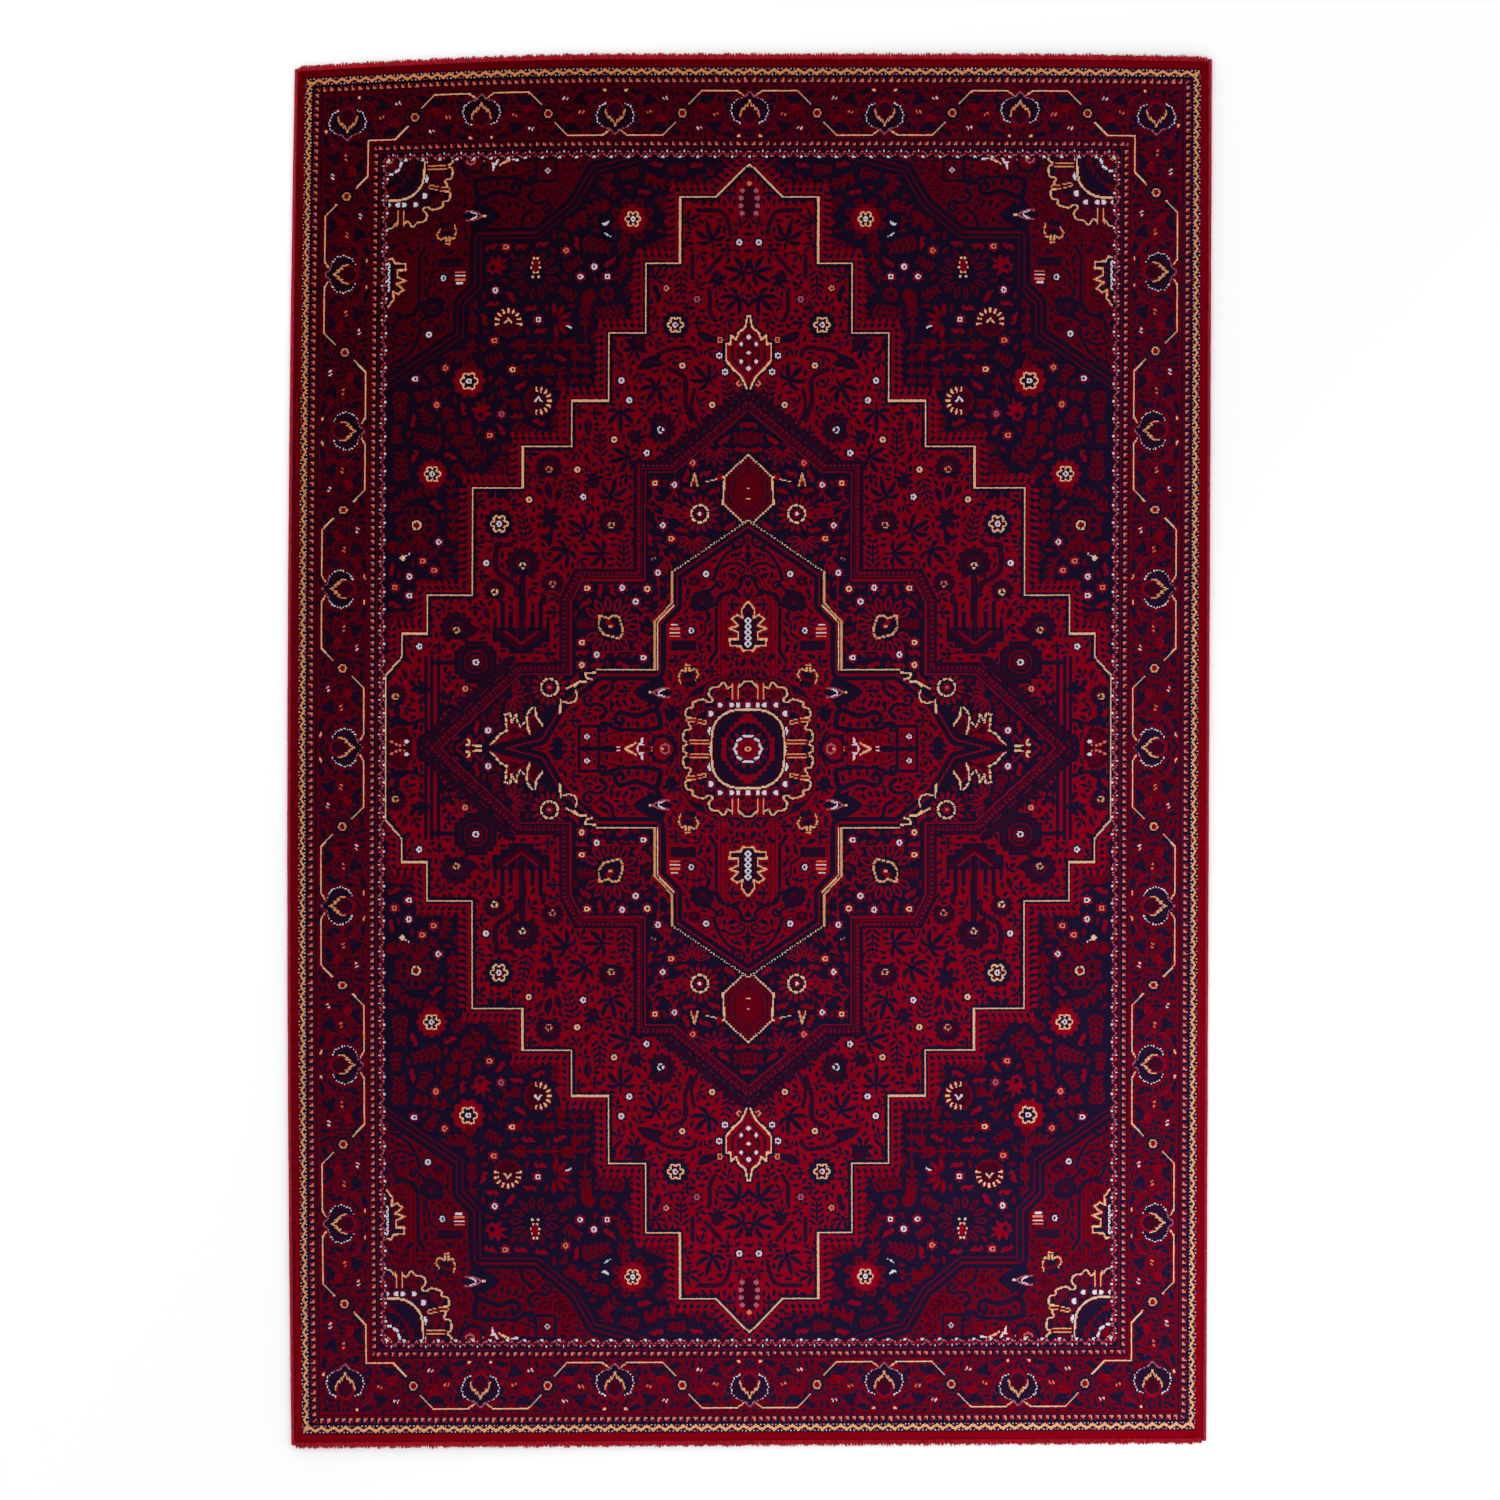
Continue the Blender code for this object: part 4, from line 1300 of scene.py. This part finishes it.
class Nodes:
    """A material's node tree, with short ways to add and join nodes."""

    def __init__(self, name, roughness=0.9, sheen=0.0, specular=0.2):
        self.material = bpy.data.materials.new(name)
        self.material.use_nodes = True
        self.tree = self.material.node_tree
        self.shader = self.tree.nodes["Principled BSDF"]
        self.shader.inputs["Roughness"].default_value = roughness
        self.shader.inputs["Sheen Weight"].default_value = sheen
        self.shader.inputs["Sheen Roughness"].default_value = 0.6
        self.shader.inputs["Specular IOR Level"].default_value = specular

    def add(self, kind, links=(), **values):
        node = self.tree.nodes.new(kind)
        for key, value in values.items():
            if hasattr(node, key):
                setattr(node, key, value)
            else:
                node.inputs[key.replace("_", " ")].default_value = value
        for source, place in links:
            self.tree.links.new(source, node.inputs[place])
        return node

    def noise(self, scale, detail=2.0, stretch=(1, 1, 1)):
        place = self.add("ShaderNodeTexCoord")
        mapped = self.add("ShaderNodeMapping", [(place.outputs["Object"], "Vector")], Scale=stretch)
        node = self.add("ShaderNodeTexNoise", [(mapped.outputs[0], "Vector")], Scale=scale,
                        Detail=detail)
        return node.outputs["Fac"]

    def span(self, value, low, high):
        """The value, which runs from 0 to 1, spread between two others."""
        node = self.add("ShaderNodeMapRange", [(value, "Value")], To_Min=low, To_Max=high)
        return node.outputs["Result"]

    def multiply(self, a, b):
        node = self.add("ShaderNodeMath", [(a, 0), (b, 1)], operation="MULTIPLY")
        return node.outputs[0]

    def shade(self, colour, share):
        """A colour made lighter or darker by a share."""
        node = self.add("ShaderNodeVectorMath", [(colour, 0), (share, "Scale")], operation="SCALE")
        return node.outputs[0]

    def painted_light_share(self):
        """Painted light and shade by place on the rug: from 0 at the far left, in painted shade, to 1 at the
        near right, in painted light.
        """
        place = self.add("ShaderNodeTexCoord")
        axes = self.add("ShaderNodeSeparateXYZ", [(place.outputs["Object"], "Vector")])
        across = self.add("ShaderNodeMath", [(axes.outputs["X"], 0)], operation="MULTIPLY_ADD")
        across.inputs[1].default_value = 0.30 * MM / half_width
        across.inputs[2].default_value = 0.5
        along = self.add("ShaderNodeMath", [(axes.outputs["Y"], 0), (across.outputs[0], 2)],
                         operation="MULTIPLY_ADD", use_clamp=True)
        along.inputs[1].default_value = -0.42 * MM / half_length
        return along.outputs[0]

    def yarn_ramp(self, which, side):
        """The yarns' colours as steps of a colour ramp: side 0 gives them in painted shade, side 1 in painted
        light.
        """
        ramp = self.add("ShaderNodeValToRGB", [(which, "Fac")])
        ramp.color_ramp.interpolation = "CONSTANT"
        for place, colours in sorted(YARN_COLOURS_IN_PAINTED_SHADE_AND_LIGHT.items()):
            if place < 2:
                stop = ramp.color_ramp.elements[place]
                stop.position = place / RAMP_STEPS
            else:
                stop = ramp.color_ramp.elements.new(place / RAMP_STEPS)
            stop.color = linear(*colours[side])
        return ramp.outputs["Color"]

    def finish(self, colour, height=None, distance=0.0005, strength=0.5):
        self.tree.links.new(colour, self.shader.inputs["Base Color"])
        if height is not None:
            bump = self.add("ShaderNodeBump", [(height, "Height")], Strength=strength,
                            Distance=distance)
            self.tree.links.new(bump.outputs[0], self.shader.inputs["Normal"])
        return self.material


def pile_material(name):
    """Cut pile: each knot's own yarn colour, varied from tuft to tuft and slowly over the rug, and mixed from
    painted shade at the far left to painted light at the near right.
    """
    nodes = Nodes(name, 0.95, 0.0, 0.0)
    which = nodes.add("ShaderNodeAttribute", attribute_name="yarn").outputs["Fac"]
    # painted shade and painted light: each yarn's shaded and lit colours, mixed by place on the rug
    mixed = nodes.add("ShaderNodeMix", data_type="RGBA")
    nodes.tree.links.new(nodes.painted_light_share(), mixed.inputs[0])
    nodes.tree.links.new(nodes.yarn_ramp(which, 0), mixed.inputs[6])
    nodes.tree.links.new(nodes.yarn_ramp(which, 1), mixed.inputs[7])
    tufts = nodes.span(nodes.noise(420, 2), 0.72, 1.28)
    dye_lots = nodes.span(nodes.noise(3.0, 3, (0.4, 1.6, 1)), 0.86, 1.14)
    colour = nodes.shade(mixed.outputs[2], nodes.multiply(tufts, dye_lots))
    return nodes.finish(colour, nodes.noise(650, 2), 0.0012, 0.35)


def yarn_material(name, dark, bright, scale, stretch=(1, 1, 1), roughness=0.8, sheen=0.1):
    """Spun yarn or cloth of two mixed tones, drawn out along one way."""
    nodes = Nodes(name, roughness, sheen)
    grain = nodes.noise(scale, 3, stretch)
    ramp = nodes.add("ShaderNodeValToRGB", [(grain, "Fac")])
    for stop, place, colour in zip(ramp.color_ramp.elements, (0.3, 0.7), (dark, bright)):
        stop.position = place
        stop.color = linear(*colour)
    return nodes.finish(ramp.outputs["Color"], grain, 0.0006, 0.5)


pile_slots = {name: pile_material(name) for name in ("wine_pile", "gold_pile", "navy_pile",
                                                     "red_pile", "mosaic_pile")}
crimson = yarn_material("crimson_yarn", (118, 0, 18), (170, 6, 42), 260, (1, 0.35, 1), 0.7, 0.0)
tuft_yarn = yarn_material("crimson_tufts", (112, 0, 14), (186, 2, 34), 260, (1, 0.35, 1), 0.9, 0.0)
jute = yarn_material("jute_weft", (146, 118, 78), (188, 160, 116), 300, (0.15, 1, 1), 0.9)
cotton = yarn_material("cotton_warp", (196, 190, 172), (226, 222, 208), 300, (1, 0.15, 1), 0.9)
hem_cloth = yarn_material("hem_cloth", (70, 6, 14), (98, 12, 22), 400, (1, 1, 1), 0.9)
latex = yarn_material("latex_coat", (196, 190, 172), (214, 208, 192), 40, (1, 1, 1), 0.55, 0.0)

slot_of_zone = {"plain_edge": "wine_pile", "gold_guard": "gold_pile",
                "inner_tooth_stripe": "wine_pile", "mosaic_guard": "mosaic_pile",
                "medallion_ground": "red_pile", "lobed_medallion": "red_pile"}
is_far, is_right = np.indices(yarn.shape) >= np.array([rows // 2, columns // 2])[:, None, None]
sides = {"_far": is_far & ~in_side, "_near": ~is_far & ~in_side, "_left": ~is_right & in_side,
         "_right": is_right & in_side}
quarters = {"_far_left": is_far & ~is_right, "_far_right": is_far & is_right,
            "_near_left": ~is_far & ~is_right, "_near_right": ~is_far & is_right}
for number, zone_name in enumerate(ZONES):
    parts = sides if zone_name in BANDS else quarters if zone_name in QUARTERED else {"": True}
    for ending, here in parts.items():
        pile_piece(zone_name + ending, (zone == number) & here, slot_of_zone.get(zone_name, "navy_pile"))


# ---------------------------------------------------------------------------------------------
# The woven back
# ---------------------------------------------------------------------------------------------

def node_box(name):
    low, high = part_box(name)
    return [MM * v for v in low], [MM * v for v in high]


def ribbed_layer(name, material, material_slot, pitch, along_x, depth):
    """One layer of the ground weave, ribbed on both faces."""
    low, high = node_box(name)
    fine = max(2, round((high[1 - along_x] - low[1 - along_x]) / pitch * 2)) + 1
    counts = (fine, 24) if along_x else (24, fine)

    def ribs(x, y):
        return depth * (0.5 - 0.5 * np.cos(math.tau * (x if along_x else y) / pitch))

    return belongs(slab(name + "_yarns", np.linspace(low[0], high[0], counts[0]),
                        np.linspace(low[1], high[1], counts[1]),
                        lambda x, y: low[2] + ribs(x, y), lambda x, y: high[2] - ribs(x, y),
                        material), material_slot, name)


ribbed_layer("lower_weft_layer", jute, "jute_weft", 4.0, 0, 0.18)
ribbed_layer("stuffer_warp_layer", cotton, "cotton_warp", 5.0, 1, 0.15)
upper = ribbed_layer("upper_weft_layer", jute, "jute_weft", 4.0, 0, 0.18)

coat_low, coat_high = node_box("latex_back_coat")
belongs(slab("latex_back_film", np.linspace(coat_low[0], coat_high[0], 160),
             np.linspace(coat_low[1], coat_high[1], 240),
             lambda x, y: coat_low[2] + 0.1 + 0.08 * np.sin(x / 3.2) * np.sin(y / 3.2),
             lambda x, y: coat_high[2] + 0 * x, latex), "latex_coat", "latex_back_coat")


def hem(end, sign):
    """Heading cloth folded under the end: a flat turn-under and the fold up to the pile."""
    low, high = node_box(f"end_hem_{end}")
    outer, inside = (high[1], low[1]) if sign > 0 else (low[1], high[1])
    wall, bevel = 0.8, 0.6
    section = [(inside, low[2]), (outer - sign * bevel, low[2]), (outer, low[2] + bevel),
               (outer, high[2]), (outer - sign * wall, high[2]),
               (outer - sign * wall, low[2] + wall), (inside, low[2] + wall)]
    xs = np.linspace(low[0], high[0], 80)
    points = [(x, y, z) for x in xs for y, z in section[::int(sign)]]
    faces = rod_faces(len(xs), len(section))
    belongs(new_piece(f"end_hem_{end}_cloth", points, faces, hem_cloth), "hem_cloth",
            f"end_hem_{end}")


hem("far", 1)
hem("near", -1)


# ---------------------------------------------------------------------------------------------
# The edges: fluffy yarn ends along both ends, and yarn wound round a cord along both sides
# ---------------------------------------------------------------------------------------------

def tube(centres, radii, across, up):
    """Points of a closed tapering tube, and its faces, for a list of centres and radii."""
    sides = 5
    angle = np.linspace(0, math.tau, sides, endpoint=False)
    ring = np.cos(angle)[:, None] * across + np.sin(angle)[:, None] * up
    points = np.vstack([centre + radius * ring for centre, radius in zip(centres, radii)])
    return points, rod_faces(len(centres), sides)


TUFT_LINES = 4
TUFT_SPACING = 1.6
TUFT_RADII = (1.4, 1.5, 0.9)  # at the foot, the bend and the tip


def tufts(end, sign):
    """Leaning ends of the pile yarn beyond the last row of knots."""
    low, high = node_box(f"end_tufts_{end}")
    root, reach_out = (low[1], high[1]) if sign > 0 else (high[1], low[1])
    points, faces, count = [], [], 0
    for line in range(TUFT_LINES):
        for x in np.arange(low[0] + 1.5, high[0] - 1.5, TUFT_SPACING):
            x += rng.uniform(-0.6, 0.6)
            out = (reach_out - root) * (0.52 + 0.13 * line + rng.uniform(-0.16, 0.16))
            clump = 0.05 * math.sin(x / 9.0 + 2 * line) + 0.07 * math.sin(x / 3.7)
            tip = np.array([x + rng.uniform(-1.6, 1.6) + 3 * clump, root + out * (1 + clump),
                            high[2] - 1.0 - 1.8 * line + rng.uniform(-0.6, 0.6)])
            foot = np.array([x, root - sign * 0.4, low[2] + 0.9])
            bend = (foot + tip) / 2 + np.array([0, -0.12 * out, 1.2])
            ring, quads = tube([foot, bend, tip], TUFT_RADII, np.array([-sign, 0, 0]),
                               np.array([0, -0.6 * sign, 0.8]))
            points.append(ring)
            faces += [[corner + count for corner in quad] for quad in quads]
            count += len(ring)
    belongs(new_piece(f"end_tufts_{end}_yarn", np.vstack(points), faces, tuft_yarn),
            "crimson_yarn", f"end_tufts_{end}")


tufts("far", 1)
tufts("near", -1)


def wound(name, slot_name, material, pitch, depth, starts, step, sides=14):
    """Yarn wound round a side, or strands twisted into its cord: a ridged oval rod along y."""
    low, high = node_box(name)
    ys = np.arange(low[1] + 2, high[1] - 2, step)
    angle = np.linspace(0, -math.tau, sides, endpoint=False)[None, :]
    middle = [(a + b) / 2 for a, b in zip(low, high)]
    half_x, half_z = (high[0] - low[0]) / 2, (high[2] - low[2]) / 2
    y = ys[:, None] + 0 * angle
    ridge = 1 - depth * (0.5 - 0.5 * np.cos(math.tau * y / pitch + starts * angle))
    wave = 0.025 * np.sin(y / 37) + 0.02 * np.sin(y / 11.3)
    ridge = ridge * (1 + wave)
    x = middle[0] + half_x * ridge * np.cos(angle)
    z = middle[2] + half_z * ridge * np.sin(angle)
    points = np.stack([x, y, z], -1).reshape(-1, 3)
    belongs(new_piece(name + "_yarn", points, rod_faces(len(ys), sides), material), slot_name, name)


for side in ("left", "right"):
    wound(f"serging_{side}", "crimson_yarn", crimson, 2.8, 0.12, 1, 0.7)
    wound(f"side_cord_{side}", "cotton_warp", cotton, 9.0, 0.25, 3, 1.5, 8)


# ---------------------------------------------------------------------------------------------
# Floor, light and camera
# ---------------------------------------------------------------------------------------------

def plain(name, colour, roughness):
    nodes = Nodes(name, roughness)
    nodes.shader.inputs["Base Color"].default_value = colour
    return nodes.material


bpy.ops.mesh.primitive_plane_add(size=14, location=(0, 0, -0.5 / MM))
floor = bpy.context.object
floor.name = "studio_floor"
floor.data.materials.append(plain("studio_floor", (0.86, 0.86, 0.86, 1), 0.9))

scene = bpy.context.scene
scene.world = scene.world or bpy.data.worlds.new("studio")
scene.world.use_nodes = True
background = scene.world.node_tree.nodes["Background"]
background.inputs["Color"].default_value = (1, 1, 1, 1)
background.inputs["Strength"].default_value = 1.15


def area_light(name, place, aim, size, power):
    light = bpy.data.lights.new(name, "AREA")
    light.shape = "DISK"
    light.size = size
    light.energy = power
    lamp = bpy.data.objects.new(name, light)
    lamp.location = place
    way = np.array(aim, float) - np.array(place, float)
    lamp.rotation_euler = (math.acos(-way[2] / np.linalg.norm(way)), 0,
                           math.atan2(way[0], -way[1]))
    bpy.context.collection.objects.link(lamp)
    return lamp


area_light("key_light", (2.6, -2.4, 3.2), (0.3, -0.3, 0), 2.4, 260)
area_light("fill_light", (-2.8, 2.2, 3.6), (0, 0, 0), 3.0, 90)

VIEW_WIDTH = 2.6  # metres of floor that the picture spans
DISTANCE = 6.0
eye = bpy.data.cameras.new("camera")
eye.sensor_width = 36
eye.lens = 36 * DISTANCE / VIEW_WIDTH
eye.clip_end = 50
camera = bpy.data.objects.new("camera", eye)
camera.location = (0, -0.0052, DISTANCE + pile_high / MM)
bpy.context.collection.objects.link(camera)
scene.camera = camera
scene.view_settings.view_transform = "Standard"
scene.view_settings.look = "None"
